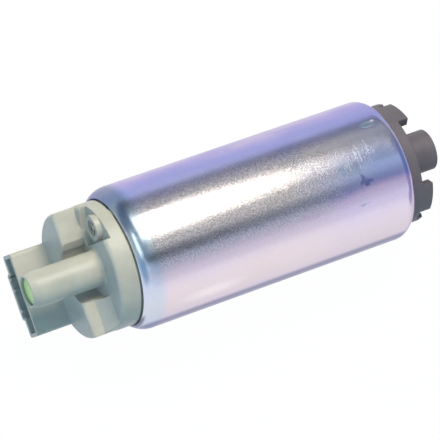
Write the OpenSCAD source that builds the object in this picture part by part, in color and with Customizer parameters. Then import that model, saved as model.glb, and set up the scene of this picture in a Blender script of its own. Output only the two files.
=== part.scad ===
// In-tank electric fuel pump: rolled steel can, brush motor and regenerative turbine stage.
// X runs along the pump from the outlet end (-X) to the inlet end (+X). The origin is the middle of the can on its
// axis. +Z is the side on which both spigots stand off the axis.

/* [Can] */
// Outer diameter of the can
can_d = 38; // [37:0.5:42]
// Length of the can between its two lips
can_len = 79.7; // [79:0.1:90]
// Wall thickness of the can
can_wall = 1.2; // [1:0.1:1.3]
// How far the lip at the outlet end is rolled in, on the radius
lip_drop = 2; // [1.8:0.1:2.2]
// How far the lip at the inlet end is rolled in, on the radius
inlet_lip_drop = 2.3; // [2.1:0.1:2.4]
// Length of the rolled shoulder at the outlet end
outlet_shoulder = 4.4; // [4.2:0.1:4.8]
// Length of the rolled shoulder at the inlet end
inlet_shoulder = 3.3; // [3.1:0.1:3.6]

/* [Fits] */
// Gap between pieces that are pressed or clamped together
press_gap = 0.01; // [0.01:0.01:0.02]
// Gap round pieces that are dropped into their seats
seat_gap = 0.05; // [0.03:0.01:0.08]
// Radial gap of the shaft in its bearings
shaft_gap = 0.03; // [0.02:0.01:0.06]
// Gap on each side of a sliding brush
brush_gap = 0.05; // [0.03:0.01:0.1]
// Gap on each side of the impeller
impeller_gap = 0.1; // [0.08:0.01:0.15]

/* [Outlet cover] */
// Radius step from the can's lip to the drum of the cover
drum_step = 0.35; // [0.1:0.05:0.4]
// Length of the drum beyond the can's lip
drum_len = 5.8; // [5.6:0.1:6.5]
// Fillet on the drum's rim
drum_fillet = 1.2; // [0.8:0.1:1.4]
// Radius step from the drum to the brush wings
wing_step = 0.15; // [0.1:0.05:0.6]
// Length of the brush wings beyond the can's lip
wing_len = 12; // [11.5:0.1:13]
// Height of the wings' flat front face above the can's axis
wing_z = 2.5; // [2.2:0.1:3]
// Fillet on the wings' end edges
wing_fillet = 1; // [0.6:0.1:1.3]
// Length of the lower wing's front face before its ramp
ramp_start = 3.3; // [2.8:0.1:4]
// Height of the lower wing's ramp at the drum
ramp_rise = 4.3; // [3.5:0.1:5]
// Thickness of the cover's end wall
end_wall = 4.4; // [4:0.1:4.6]
// Depth of the cover's flange inside the can
flange_depth = 8.6; // [8.2:0.1:9]
// Thickness of the cover's side wall
side_wall = 2.95; // [2.8:0.05:3.1]

/* [Outlet spigot] */
// Outer diameter of the outlet spigot
spigot_d = 9.3; // [9:0.1:9.6]
// Bore of the outlet spigot
spigot_bore = 7.3; // [6.8:0.1:7.4]
// Reach of the outlet spigot beyond the can's lip
spigot_len = 25.5; // [24.5:0.1:28]
// Height of the outlet spigot's axis above the can's axis
spigot_z = 5; // [4.8:0.1:5.4]
// Fillet at the outlet spigot's root
spigot_fillet = 0.5; // [0.3:0.1:1.2]
// Length of the taper at the outlet spigot's mouth
nose_len = 2; // [1.5:0.1:2.5]
// Radius taken off by the taper at the mouth
nose_drop = 0.55; // [0.4:0.05:0.7]
// Radius of the clearance that the wings leave round the hose
hose_room = 7.75; // [7.5:0.05:7.8]
// Distance from the pump's middle plane to the upper wing's front face
face_y = 8.3; // [7.6:0.1:8.6]

/* [Connector socket] */
// Reach of the connector socket beyond the can's lip
socket_len = 21.4; // [20.5:0.1:23]
// Width of the socket
socket_w = 22; // [21.2:0.1:22.2]
// Sideways offset of the socket's middle
socket_y = -0.45; // [-0.6:0.05:-0.2]
// Depth of the socket's near face below the drum's surface
socket_drop = 5.85; // [5.65:0.05:5.95]
// Thickness of the socket across its flat part
socket_t = 6.2; // [5.4:0.1:6.4]
// How far the raised middle panel stands out
panel_step = 1.6; // [1.4:0.1:1.7]
// Width of the raised middle panel
panel_w = 12.5; // [12.3:0.1:13]
// Wall thickness of the socket
socket_wall = 1; // [0.9:0.05:1.05]
// Depth of the socket
socket_depth = 13.5; // [13:0.1:14]
// Width of the key inside the socket
key_w = 3; // [2.5:0.1:3]
// Height of the key inside the socket
key_h = 1.7; // [1:0.1:1.8]
// Height of the guide ribs inside the socket
rib_h = 0.9; // [0.3:0.05:1]

/* [Terminals and chokes] */
// Distance of each terminal from the socket's middle
terminal_y = 3.6; // [3.5:0.1:3.8]
// Width of a terminal blade
terminal_w = 2.8; // [2.6:0.1:2.9]
// Thickness of a terminal blade
terminal_t = 0.8; // [0.6:0.1:0.8]
// Length of a terminal blade inside the socket
terminal_len = 6.3; // [6:0.1:7]
// Diameter of a choke's ferrite rod
choke_d = 3; // [2.8:0.1:3.1]
// Length of a choke's ferrite rod
choke_len = 8.3; // [8:0.1:8.5]
// Thickness of a choke's winding
choke_wire = 0.75; // [0.6:0.05:0.8]

/* [Valves] */
// Travel of the check valve poppet
check_lift = 1.5; // [1.2:0.1:1.8]
// Diameter of the poppet's head in the spigot's mouth
poppet_head_d = 6.7; // [6:0.1:6.7]
// Depth of the poppet's head below the mouth
poppet_recess = 0.7; // [0.6:0.1:1.2]
// Distance from the drum's end to the check valve's seat
valve_wall = 2.6; // [2.2:0.1:3]
// Diameter of the port under the check valve
port_d = 4.8; // [4.6:0.1:5]
// Outer diameter of the relief valve boss
relief_d = 6.6; // [6.4:0.1:6.8]
// Bore of the relief valve
relief_bore = 4.3; // [4.2:0.1:4.4]
// Sideways position of the relief valve
relief_y = 9.7; // [9.5:0.1:9.9]
// Height of the relief valve above the can's axis
relief_z = 9; // [8.8:0.1:9.2]
// Reach of the relief valve boss beyond the can's lip
relief_len = 5.4; // [5.2:0.1:5.6]
// Reach of the pocket's floor round the relief valve boss beyond the can's lip
pocket_len = 3.8; // [3.6:0.1:4]
// Diameter of the relief valve ball
relief_ball_d = 3.4; // [3.2:0.1:3.5]

/* [Brushes and commutator] */
// Width of a brush on the radius
brush_w = 5; // [4.8:0.1:5.1]
// Width of a brush round the commutator
brush_t = 3.6; // [3.4:0.1:3.7]
// Length of a brush
brush_len = 11; // [10:0.1:11.5]
// Distance of a brush's middle from the pump's middle plane
brush_y = 9.6; // [9.5:0.05:9.8]
// Distance of a brush's middle behind the can's axis
brush_z = 2; // [1.9:0.05:2.2]
// Wall of a brush holder
holder_wall = 1; // [0.9:0.05:1.1]
// Distance from the cover's end wall to the commutator's face
commutator_reach = 13.5; // [13:0.1:14.5]
// Diameter of the commutator
commutator_d = 25.6; // [25.5:0.1:25.8]
// Thickness of the commutator's segments
segment_t = 2; // [1.6:0.1:2.4]
// Number of commutator segments and armature slots
slots = 8; // [6:2:8]

/* [Armature and magnets] */
// Diameter of the shaft
shaft_d = 4; // [3.8:0.1:4.2]
// Air gap between armature and magnets
air_gap = 0.7; // [0.5:0.1:0.9]
// Thickness of the magnets on the radius
magnet_t = 4.15; // [4:0.05:4.3]
// Length of the magnets
magnet_len = 31; // [28:0.5:33]
// Angle that each magnet spans
magnet_span = 136; // [130:1:140]
// Length of the armature's stack
core_len = 24; // [22:0.5:25]
// Diameter of the round armature slots
slot_d = 5; // [4.6:0.1:5.2]
// Depth of the slots' middle below the armature's surface
slot_depth = 4.3; // [4.1:0.1:4.5]
// Length of the windings' heads beyond the stack
head_len = 3.2; // [2.8:0.1:3.4]
// Outer diameter of the bearings
bearing_d = 8; // [7.6:0.1:8.2]
// Length of the upper bearing
upper_bearing_len = 5.5; // [5:0.1:5.8]
// Length of the lower bearing
lower_bearing_len = 6; // [5.5:0.1:6.4]

/* [Pump stage] */
// Diameter of the impeller
impeller_d = 30; // [29.5:0.1:30.4]
// Thickness of the impeller
impeller_t = 3.8; // [3.4:0.1:4.2]
// Number of vane pockets in the impeller
vanes = 30; // [20:2:36]
// Depth of the flow channels beside the impeller
channel_depth = 1.2; // [1:0.1:1.4]
// Thickness of the pump body behind the impeller
body_t = 8.8; // [8.4:0.1:9.5]

/* [Inlet cover] */
// Depth of the inlet cover inside the can
inlet_depth = 4.8; // [4.6:0.1:5.2]
// Reach of the inlet cover's plate beyond the can's lip
plate_len = 3.2; // [2.4:0.1:3.5]
// Radius step from the can's lip to the inlet cover's plate
plate_step = 0.5; // [0.5:0.1:0.9]
// Reach of the tabs beyond the can's lip
tab_len = 6.1; // [5.6:0.1:6.5]
// Thickness of the tabs on the radius
tab_t = 2.4; // [2:0.1:2.8]
// Outer diameter of the inlet spigot
inlet_d = 10.9; // [10.5:0.1:11.1]
// Bore of the inlet spigot
inlet_bore = 8.2; // [8:0.1:8.4]
// Reach of the inlet spigot beyond the can's lip
inlet_len = 10.9; // [10:0.1:13]
// Sideways position of the inlet spigot
inlet_y = 0.7; // [0.5:0.1:0.9]
// Height of the inlet spigot's axis above the can's axis
inlet_z = 7; // [6.8:0.1:7.2]

/* [Hidden] */
$fn = 64;

plated_steel = [0.72, 0.73, 0.82];
bright_steel = [0.75, 0.76, 0.78];
sage_plastic = [0.66, 0.7, 0.61];
dark_plastic = [0.36, 0.34, 0.38];
lime_plastic = [0.68, 0.83, 0.52];
copper = [0.8, 0.48, 0.3];
carbon = [0.16, 0.16, 0.17];
ferrite = [0.24, 0.23, 0.24];
bronze = [0.66, 0.52, 0.32];
rubber_black = [0.1, 0.1, 0.1];

// Cuts run this far past the face that they open
over = 1;
// Bosses start this far inside the wall that carries them
sink = 0.5;

can_r = can_d / 2;
can_ri = can_r - can_wall;
fit_r = can_ri - seat_gap;
lip_r = can_r - lip_drop;
outlet_lip_x = -can_len / 2;
inlet_lip_x = can_len / 2;
inlet_lip_r = can_r - inlet_lip_drop;
outlet_arc_r = (pow(outlet_shoulder, 2) + pow(lip_drop, 2)) / (2 * lip_drop);
inlet_arc_r = (pow(inlet_shoulder, 2) + pow(inlet_lip_drop, 2)) / (2 * inlet_lip_drop);

drum_r = lip_r - drum_step;
drum_x = outlet_lip_x - drum_len;
drum_gap = 0.3;
neck_r = lip_r - 1;
wing_r = drum_r - wing_step;
wing_x = outlet_lip_x - wing_len;
flange_x = outlet_lip_x + flange_depth;
cavity_x = drum_x + end_wall;
cavity_r = fit_r - side_wall;

spigot_r = spigot_d / 2;
chamber_r = spigot_bore / 2;
spigot_x = outlet_lip_x - spigot_len;
port_r = port_d / 2;
valve_seat_x = drum_x - valve_wall;
pocket_x = outlet_lip_x - pocket_len;
pocket_y = 5.9;
pocket_turn = 10.4;
face_drop = 1.2;
face_slope = 1.5;
pocket_slope = 33;
relief_r = relief_d / 2;
relief_face_x = outlet_lip_x - relief_len;
relief_tube_len = 5.4;
relief_end_x = cavity_x + relief_tube_len;
relief_seat_t = 1.3;
relief_seat_x = relief_end_x - relief_seat_t;
relief_hole_r = 1.2;

socket_near = drum_r - socket_drop;
socket_x = outlet_lip_x - socket_len;
socket_floor_x = socket_x + socket_depth;
socket_lip_gap = 2.4;
socket_root_x = outlet_lip_x - socket_lip_gap;
socket_far = socket_near + socket_t;
panel_far = socket_far + panel_step;
socket_in = socket_near + socket_wall;
key_inset = 0.5;
rib_w = 0.8;
rib_places = [-3.85, 1.75, 4.85];

bearing_r = bearing_d / 2;
shaft_r = shaft_d / 2;
bearing_floor = 4;
port_floor = 0.4;
upper_bearing_x = cavity_x + bearing_floor;
upper_boss_x = upper_bearing_x + upper_bearing_len;
boss_wall = 1.2;
shaft_x = upper_bearing_x + sink;

commutator_x = cavity_x + commutator_reach;
commutator_r = commutator_d / 2;
holder_clear = 0.8;
wing_wall = 1.5;
holder_x = commutator_x - holder_clear;
brush_bore_x = wing_x + wing_wall;
brush_face_x = commutator_x - seat_gap;
brush_back_x = brush_face_x - brush_len;
brush_travel = 4;
lead_r = 0.45;
lead_back = 3;
lead_drop = 1.2;
lead_room = 0.3;
lead_x = brush_back_x + lead_back;

choke_r = choke_d / 2;
choke_gap = 0.2;
choke_x = cavity_x + choke_gap;
choke_share = 0.47;
choke_y = choke_share * cavity_r;
choke_clear = 0.6;
choke_reach = cavity_r - choke_r - choke_wire - choke_clear;
choke_z = -sqrt(pow(choke_reach, 2) - pow(choke_y - socket_y, 2));
choke_bare = 0.8;

stage_x = inlet_lip_x - inlet_depth;
chamber_x = stage_x - impeller_t - 2 * impeller_gap;
body_x = chamber_x - body_t;
impeller_r = impeller_d / 2;
impeller_x = chamber_x + impeller_gap;
flat_depth = 0.5;
flat_lead = 0.3;
flat_x = impeller_x - flat_lead;
rim_t = 0.7;
channel_half = 1.5;
pocket_inset = 0.1;
channel_r = impeller_r - rim_t - channel_half + pocket_inset;
pad_r = 2.5;
pad_t = 1.2;
pad_floor = 1;
pad_x = stage_x + pad_floor;
shaft_end_x = pad_x - seat_gap;

hub_t = 2.5;
hub_neck_len = 2;
hub_x = commutator_x + segment_t;
hub_end_x = hub_x + hub_t + hub_neck_len;
sleeve_r = 4.8;
washer_t = 0.6;
washer_step = 0.2;
washer_r = bearing_r + washer_step;
washer_gap = 0.15;
magnet_ro = can_ri - press_gap;
magnet_ri = magnet_ro - magnet_t;
core_r = magnet_ri - air_gap;
motor_mid_x = (hub_end_x + body_x) / 2;
core_x = motor_mid_x - core_len / 2;
slot_r = slot_d / 2;
slot_place = core_r - slot_depth;
slot_mouth = 1.6;
slot_liner = 0.2;
insulator_t = 0.8;
head_ri = 4.6;
head_step = 0.9;
head_ro = core_r - head_step;

plate_r = inlet_lip_r - plate_step;
plate_x = inlet_lip_x + plate_len;
tab_x = inlet_lip_x + tab_len;
inlet_x = inlet_lip_x + inlet_len;
inlet_r = inlet_d / 2;
inlet_bore_r = inlet_bore / 2;
inlet_port_r = 2.4;
inlet_floor = 3.2;
inlet_port_len = 5.4;
plate_fillet = 0.6;
tab_inset = 0.2;
tab_turns = [[38.5, 70], [-29.7, -63], [110, 141.5], [-117, -150.3]];
lug_y = plate_r - 1.7;
lug_reach = 1.3;
lug_from_z = -0.5;
lug_to_z = 4.5;

seal_wire = 0.7;
seal_inset = 2.3;
seal_x = flange_x - seal_inset;
seal_ring_r = can_ri - seal_wire - press_gap;

seal_t = 0.8;
disc_t = 1.2;
disc_room = 0.5;
disc_r = chamber_r - disc_room;
stem_r = 1;
stem_tip = 0.3;
head_t = 0.9;
disc_x = valve_seat_x - seal_t - disc_t;
spring_packed = 6;
guide_len = 3;
guide_end_x = disc_x - check_lift - spring_packed;
guide_x = guide_end_x - guide_len;
head_x = spigot_x + poppet_recess;

ball_r = relief_ball_d / 2;
ball_x = relief_seat_x - sqrt(pow(ball_r, 2) - pow(relief_hole_r, 2)) - press_gap;
relief_spring_r = 1.3;
relief_wire_r = 0.2;
relief_spring_end_x = ball_x - sqrt(pow(ball_r, 2) - pow(relief_spring_r, 2)) - relief_wire_r - seat_gap;
retainer_recess = 0.4;
retainer_x = relief_face_x + retainer_recess;
retainer_t = 1.4;

terminal_z = -(socket_in + panel_far - socket_wall) / 2;
terminal_jog = 1.1;
terminal_jog_x = drum_x + terminal_jog;
tail_inset = 3.8;
tail_z = tail_inset - cavity_r;
tail_len = 3.5;
coil_sides = 5;
coil_steps = 8;
valve_coil_r = 2;
brush_coil_r = 1.4;
coil_wire_r = 0.25;
guide_ring = 0.6;
guide_hub = 0.7;
rib_half = 0.6;
segment_slot = 0.6;
clip_t = 0.6;
clip_leg = 3.2;
clip_inset = 2;
clip_turn = 1.9;
recess_depth = 5;
recess_wall = 2.6;
recess_hub = 2;
shaft_room = 0.3;

// Turns a profile of [radius, x] about the X axis
module turned() {
    rotate([0, 90, 0])
        rotate_extrude()
            children();
}

// Extrudes an outline of [y, z] from x0 to x1
module along_x(x0, x1) {
    translate([x0, 0, 0])
        rotate([90, 0, 90])
            linear_extrude(x1 - x0)
                children();
}

// Extrudes an outline of [x, z] from y0 to y1
module along_y(y0, y1) {
    translate([0, y1, 0])
        rotate([90, 0, 0])
            linear_extrude(y1 - y0)
                children();
}

// Round rod along X with its axis at y, z
module rod(x0, x1, r, y = 0, z = 0) {
    translate([x0, y, z])
        rotate([0, 90, 0])
            cylinder(h = x1 - x0, r = r);
}

// Round sleeve along X with its axis at y, z
module sleeve(x0, x1, r_out, r_in, y = 0, z = 0) {
    difference() {
        rod(x0, x1, r_out, y, z);
        rod(x0 - over, x1 + over, r_in, y, z);
    }
}

// Rectangle between two values on each axis
module box_2d(a0, a1, b0, b1) {
    translate([min(a0, a1), min(b0, b1)])
        square([abs(a1 - a0), abs(b1 - b0)]);
}

// Rectangle with true arcs at its corners
module round_box_2d(a0, a1, b0, b1, r) {
    box_2d(a0 + r, a1 - r, b0, b1);
    box_2d(a0, a1, b0 + r, b1 - r);
    for (a = [a0 + r, a1 - r], b = [b0 + r, b1 - r])
        translate([a, b])
            circle(r = r);
}

// Taken from a corner at a, b to round it; da and db are 1 or -1 and point into the solid
module round_off_2d(a, b, da, db, r) {
    difference() {
        box_2d(a - da * over, a + da * r, b - db * over, b + db * r);
        translate([a + da * r, b + db * r])
            circle(r = r);
    }
}

// Added in an inner corner at a, b to fill it with a fillet; da and db point into the open space
module fill_in_2d(a, b, da, db, r) {
    difference() {
        box_2d(a, a + da * r, b, b + db * r);
        translate([a + da * r, b + db * r])
            circle(r = r);
    }
}

// Wedge from the centre, with its middle on the second axis and turned towards the first axis by turn
module wedge_2d(half, turn = 0) {
    reach = can_d;
    rotate(-turn)
        polygon([
            [0, 0],
            [-reach * sin(half), reach * cos(half)],
            [-reach * tan(min(half, 60)), reach],
            [reach * tan(min(half, 60)), reach],
            [reach * sin(half), reach * cos(half)]
        ]);
}

// Spring or winding: one round wire along X with its axis at y, z
module coil(x0, x1, r, wire_r, turns, y = 0, z = 0) {
    count = round(turns * coil_steps);
    run = x1 - x0 - 2 * wire_r;
    points = [
        for (i = [0:count], j = [0:coil_sides - 1])
            let (
                around = 360 * i / coil_steps,
                side = 360 * j / coil_sides,
                place = r + wire_r * cos(side)
            )
            [
                x0 + wire_r + run * i / count + wire_r * sin(side),
                y + place * sin(around),
                z + place * cos(around)
            ]
    ];
    walls = [
        for (i = [0:count - 1], j = [0:coil_sides - 1])
            let (
                a = i * coil_sides + j,
                b = i * coil_sides + (j + 1) % coil_sides
            )
            each [[a, b, b + coil_sides], [a, b + coil_sides, a + coil_sides]]
    ];
    start = [for (j = [1:coil_sides - 2]) [0, j + 1, j]];
    last = count * coil_sides;
    end = [for (j = [1:coil_sides - 2]) [last, last + j, last + j + 1]];
    polyhedron(points = points, faces = concat(walls, start, end));
}

// Ring with a hub on three arms
module spider(x0, x1, ring_r, hub_r, bore_r, y, z) {
    arm_half = 0.4;
    sleeve(x0, x1, ring_r, ring_r - guide_ring, y, z);
    difference() {
        union() {
            rod(x0, x1, hub_r, y, z);
            for (turn = [0, 120, 240])
                translate([0, y, z])
                    rotate([turn, 0, 0])
                        along_x(x0, x1)
                            box_2d(-arm_half, arm_half, 0, ring_r - guide_ring / 2);
        }
        if (bore_r > 0)
            rod(x0 - over, x1 + over, bore_r, y, z);
    }
}

// Half profile of what lies inside the can's outer surface drawn in by inset, as [radius, x]
module can_inside_2d(inset) {
    outlet_centre = [can_r - outlet_arc_r, outlet_lip_x + outlet_shoulder];
    inlet_centre = [can_r - inlet_arc_r, inlet_lip_x - inlet_shoulder];
    difference() {
        box_2d(0, can_r - inset, outlet_lip_x, inlet_lip_x);
        difference() {
            box_2d(outlet_centre[0], can_r + over, outlet_lip_x - over, outlet_centre[1]);
            translate(outlet_centre)
                circle(r = outlet_arc_r - inset);
        }
        difference() {
            box_2d(inlet_centre[0], can_r + over, inlet_centre[1], inlet_lip_x + over);
            translate(inlet_centre)
                circle(r = inlet_arc_r - inset);
        }
    }
}

// What is cut away at a lip so that the sheet ends square to its own surface
module lip_end_2d(centre, lip) {
    past = centre + 1.4 * (lip - centre);
    polygon([centre, past, [-over, past[1]], [-over, centre[1]]]);
}

module can() {
    color(plated_steel)
        turned()
            intersection() {
                difference() {
                    can_inside_2d(0);
                    can_inside_2d(can_wall);
                    lip_end_2d([can_r - outlet_arc_r, outlet_lip_x + outlet_shoulder], [lip_r, outlet_lip_x]);
                    lip_end_2d([can_r - inlet_arc_r, inlet_lip_x - inlet_shoulder], [inlet_lip_r, inlet_lip_x]);
                }
                box_2d(0, can_r + over, outlet_lip_x, inlet_lip_x);
            }
}

// Flange, neck and drum of the outlet cover
module cover_body() {
    turned()
        difference() {
            union() {
                intersection() {
                    can_inside_2d(can_wall + seat_gap);
                    box_2d(0, can_r, outlet_lip_x, flange_x);
                }
                box_2d(0, neck_r, outlet_lip_x - 2 * drum_gap, flange_x);
                box_2d(0, drum_r, drum_x, outlet_lip_x - drum_gap);
            }
            box_2d(neck_r, can_r + over, outlet_lip_x - drum_gap, outlet_lip_x + can_wall / 2);
            round_off_2d(drum_r, drum_x, -1, 1, drum_fillet);
        }
}

// The two wings that house the brushes, with the ramp at the lower one's root
module cover_wings() {
    root_x = drum_x + drum_fillet + sink;
    difference() {
        union() {
            intersection() {
                turned()
                    difference() {
                        box_2d(0, wing_r, wing_x, root_x);
                        round_off_2d(wing_r, wing_x, -1, 1, wing_fillet);
                    }
                along_y(-can_r, can_r)
                    difference() {
                        box_2d(wing_x, root_x, -can_r, wing_z);
                        round_off_2d(wing_x, wing_z, 1, -1, wing_fillet);
                    }
            }
            intersection() {
                rod(wing_x, root_x, wing_r);
                along_y(-can_r, -hose_room + over)
                    polygon([
                        [wing_x + ramp_start, wing_z - sink],
                        [wing_x + ramp_start, wing_z],
                        [drum_x, wing_z + ramp_rise],
                        [root_x, wing_z + ramp_rise],
                        [root_x, wing_z - sink]
                    ]);
            }
        }
        rod(wing_x - over, drum_x, hose_room, 0, spigot_z);
        along_x(wing_x - over, drum_x)
            polygon([
                [0, wing_z - face_drop],
                [face_y - face_slope, wing_z - face_drop],
                [face_y, wing_z],
                [face_y, wing_z + over],
                [0, wing_z + over]
            ]);
    }
}

// Pocket in the drum round the relief valve boss
module cover_pocket() {
    reach = can_r + over;
    along_x(drum_x - over, pocket_x)
        polygon([
            [pocket_y, wing_z],
            [pocket_turn, wing_z],
            [reach, wing_z + (reach - pocket_turn) * tan(pocket_slope)],
            [reach, reach],
            [pocket_y, reach]
        ]);
}

module cover_spigot() {
    translate([0, 0, spigot_z])
        turned() {
            polygon([
                [0, spigot_x],
                [spigot_r - nose_drop, spigot_x],
                [spigot_r, spigot_x + nose_len],
                [spigot_r, pocket_x + sink],
                [0, pocket_x + sink]
            ]);
            fill_in_2d(spigot_r, drum_x, 1, -1, spigot_fillet);
        }
}

module cover_socket() {
    corner = 1;
    along_x(socket_x, socket_root_x) {
        round_box_2d(socket_y - socket_w / 2, socket_y + socket_w / 2, -socket_far, -socket_near, corner);
        round_box_2d(socket_y - panel_w / 2, socket_y + panel_w / 2, -panel_far, -socket_near - corner, corner);
    }
}

// Recess of the connector socket, with its key and guide ribs left standing
module cover_socket_recess() {
    side = socket_w / 2 - socket_wall;
    middle = panel_w / 2 - 0.6 * socket_wall;
    along_x(socket_x - over, socket_floor_x)
        difference() {
            union() {
                box_2d(socket_y - side, socket_y + side, socket_wall - socket_far, -socket_in);
                box_2d(socket_y - middle, socket_y + middle, socket_wall - panel_far, -socket_in);
            }
            for (place = rib_places)
                let (floor_z = abs(place) < middle ? socket_wall - panel_far : socket_wall - socket_far)
                    translate([socket_y + place, floor_z])
                        box_2d(-rib_w / 2, rib_w / 2, -over, rib_h);
        }
}

module cover_key() {
    along_x(socket_x + key_inset, socket_floor_x + sink)
        box_2d(socket_y - key_w / 2, socket_y + key_w / 2, -socket_in - key_h, -socket_in + socket_wall / 2);
}

// Holders, tubes and ribs inside the outlet cover
module cover_inside() {
    root_x = cavity_x - sink;
    half_y = brush_w / 2 + holder_wall;
    half_z = brush_t / 2 + holder_wall;
    rod(root_x, upper_boss_x, bearing_r + boss_wall);
    rod(root_x, relief_end_x, relief_r, relief_y, relief_z);
    for (side = [-1, 1])
        along_x(root_x, holder_x)
            box_2d(side * brush_y - half_y, side * brush_y + half_y, -brush_z - half_z, -brush_z + half_z);
    along_x(root_x, flange_x - over)
        box_2d(-cavity_r - sink, cavity_r + sink, -brush_z - rib_half, -brush_z + rib_half);
}

// Everything bored or slotted through the outlet cover
module cover_bores() {
    rod(spigot_x - over, valve_seat_x, chamber_r, 0, spigot_z);
    rod(valve_seat_x - sink, upper_bearing_x - port_floor, port_r, 0, spigot_z);
    rod(upper_bearing_x, upper_boss_x + over, bearing_r + press_gap);
    rod(relief_face_x - over, relief_seat_x, relief_bore / 2, relief_y, relief_z);
    rod(relief_seat_x - sink, relief_end_x + over, relief_hole_r, relief_y, relief_z);
    for (side = [-1, 1]) {
        brush_block(side, brush_bore_x, holder_x + over, brush_gap);
        along_x(lead_x - brush_travel - lead_r - lead_room, holder_x + over)
            translate([side * brush_y, -brush_z - brush_t / 2])
                box_2d(-lead_r - lead_room, lead_r + lead_room, -holder_wall - over, sink);
        terminal_shape(side, seat_gap);
    }
    turned()
        translate([seal_ring_r, seal_x])
            box_2d(-seal_wire - seat_gap, seal_wire + over, -seal_wire - seat_gap, seal_wire + seat_gap);
}

module outlet_cover() {
    color(sage_plastic)
        difference() {
            union() {
                difference() {
                    union() {
                        difference() {
                            union() {
                                cover_body();
                                cover_wings();
                            }
                            cover_pocket();
                        }
                        cover_spigot();
                        rod(relief_face_x, pocket_x + sink, relief_r, relief_y, relief_z);
                        cover_socket();
                    }
                    rod(cavity_x, flange_x + over, cavity_r);
                    cover_socket_recess();
                }
                cover_inside();
                cover_key();
            }
            cover_bores();
        }
}

module outlet_seal_ring() {
    color(rubber_black)
        turned()
            translate([seal_ring_r, seal_x])
                circle(r = seal_wire);
}

module check_valve_guide() {
    color(bright_steel)
        spider(guide_x, guide_end_x, chamber_r - press_gap, stem_r + guide_hub, stem_r + seat_gap, 0, spigot_z);
}

module check_valve_poppet() {
    color(lime_plastic) {
        rod(head_x, head_x + head_t, poppet_head_d / 2, 0, spigot_z);
        rod(head_x + head_t / 2, valve_seat_x + stem_tip, stem_r, 0, spigot_z);
        rod(disc_x, disc_x + disc_t, disc_r, 0, spigot_z);
    }
}

module check_valve_seal() {
    color(rubber_black)
        sleeve(disc_x + disc_t, valve_seat_x, disc_r, stem_r + press_gap, 0, spigot_z);
}

module check_valve_spring() {
    color(bright_steel)
        coil(guide_end_x + seat_gap, disc_x - seat_gap, valve_coil_r, coil_wire_r, 5, 0, spigot_z);
}

module relief_valve_retainer() {
    color(bronze)
        spider(retainer_x, retainer_x + retainer_t, relief_bore / 2 - press_gap, guide_hub, 0, relief_y, relief_z);
}

module relief_valve_ball() {
    color(bright_steel)
        translate([ball_x, relief_y, relief_z])
            sphere(r = ball_r);
}

module relief_valve_spring() {
    color(bright_steel)
        coil(retainer_x + retainer_t + seat_gap, relief_spring_end_x, relief_spring_r, relief_wire_r, 5,
            relief_y, relief_z);
}

// Blade in the socket, step through the end wall and tail inside the cover, grown by grow on every side
module terminal_shape(side, grow) {
    t = terminal_t / 2 + grow;
    y = socket_y + side * terminal_y;
    tail_end_x = cavity_x + tail_len;
    along_y(y - terminal_w / 2 - grow, y + terminal_w / 2 + grow) {
        box_2d(socket_floor_x - terminal_len, terminal_jog_x + t, terminal_z - t, terminal_z + t);
        box_2d(terminal_jog_x - t, terminal_jog_x + t, terminal_z - t, tail_z + t);
        box_2d(terminal_jog_x - t, tail_end_x, tail_z - t, tail_z + t);
    }
}

module terminal_positive() {
    color(bronze)
        terminal_shape(1, 0);
}

module terminal_negative() {
    color(bronze)
        terminal_shape(-1, 0);
}

function choke_place(side) = socket_y + side * choke_y;

module choke_core(side) {
    color(ferrite)
        rod(choke_x, choke_x + choke_len, choke_r, choke_place(side), choke_z);
}

module choke_winding(side) {
    wire_r = choke_wire / 2;
    color(copper)
        coil(choke_x + choke_bare, choke_x + choke_len - choke_bare, choke_r + wire_r + seat_gap, wire_r, 6,
            choke_place(side), choke_z);
}

module choke_core_positive() {
    choke_core(1);
}

module choke_core_negative() {
    choke_core(-1);
}

module choke_winding_positive() {
    choke_winding(1);
}

module choke_winding_negative() {
    choke_winding(-1);
}

// Block of a brush or of its bore, grown by grow across the sliding direction
module brush_block(side, x0, x1, grow) {
    half_y = brush_w / 2 + grow;
    half_z = brush_t / 2 + grow;
    along_x(x0, x1)
        translate([side * brush_y, -brush_z])
            box_2d(-half_y, half_y, -half_z, half_z);
}

module brush_positive() {
    color(carbon)
        brush_block(1, brush_back_x, brush_face_x, 0);
}

module brush_negative() {
    color(carbon)
        brush_block(-1, brush_back_x, brush_face_x, 0);
}

module brush_spring(side) {
    color(bright_steel)
        coil(brush_bore_x + seat_gap, brush_back_x - seat_gap, brush_coil_r, coil_wire_r, 7,
            side * brush_y, -brush_z);
}

module brush_spring_positive() {
    brush_spring(1);
}

module brush_spring_negative() {
    brush_spring(-1);
}

// Straight wire between two points with a bead at the second
module wire(from, to, r) {
    run = to - from;
    bead = 1.15;
    translate(from)
        rotate([0, acos(run[2] / norm(run)), atan2(run[1], run[0])])
            cylinder(h = norm(run), r = r);
    translate(to)
        sphere(r = bead * r);
}

// Stranded lead from a brush's side out through the holder's slot to the end of its choke
module brush_lead(side) {
    drop_z = -brush_z - brush_t / 2 - holder_wall - lead_drop;
    top = [lead_x, side * brush_y, -brush_z - brush_t / 2 - seat_gap];
    down = [lead_x, side * brush_y, drop_z];
    turn = [choke_x + choke_len + lead_r + washer_gap, side * brush_y, drop_z];
    joint = [turn[0], choke_place(side), choke_z];
    color(copper) {
        wire(top, down, lead_r);
        wire(down, turn, lead_r);
        wire(turn, joint, lead_r);
    }
}

module brush_lead_positive() {
    brush_lead(1);
}

module brush_lead_negative() {
    brush_lead(-1);
}

module upper_bearing() {
    color(bronze)
        sleeve(upper_bearing_x + seat_gap, upper_boss_x, bearing_r, shaft_r + shaft_gap);
}

module lower_bearing() {
    color(bronze)
        sleeve(body_x, body_x + lower_bearing_len, bearing_r, shaft_r + shaft_gap);
}

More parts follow.
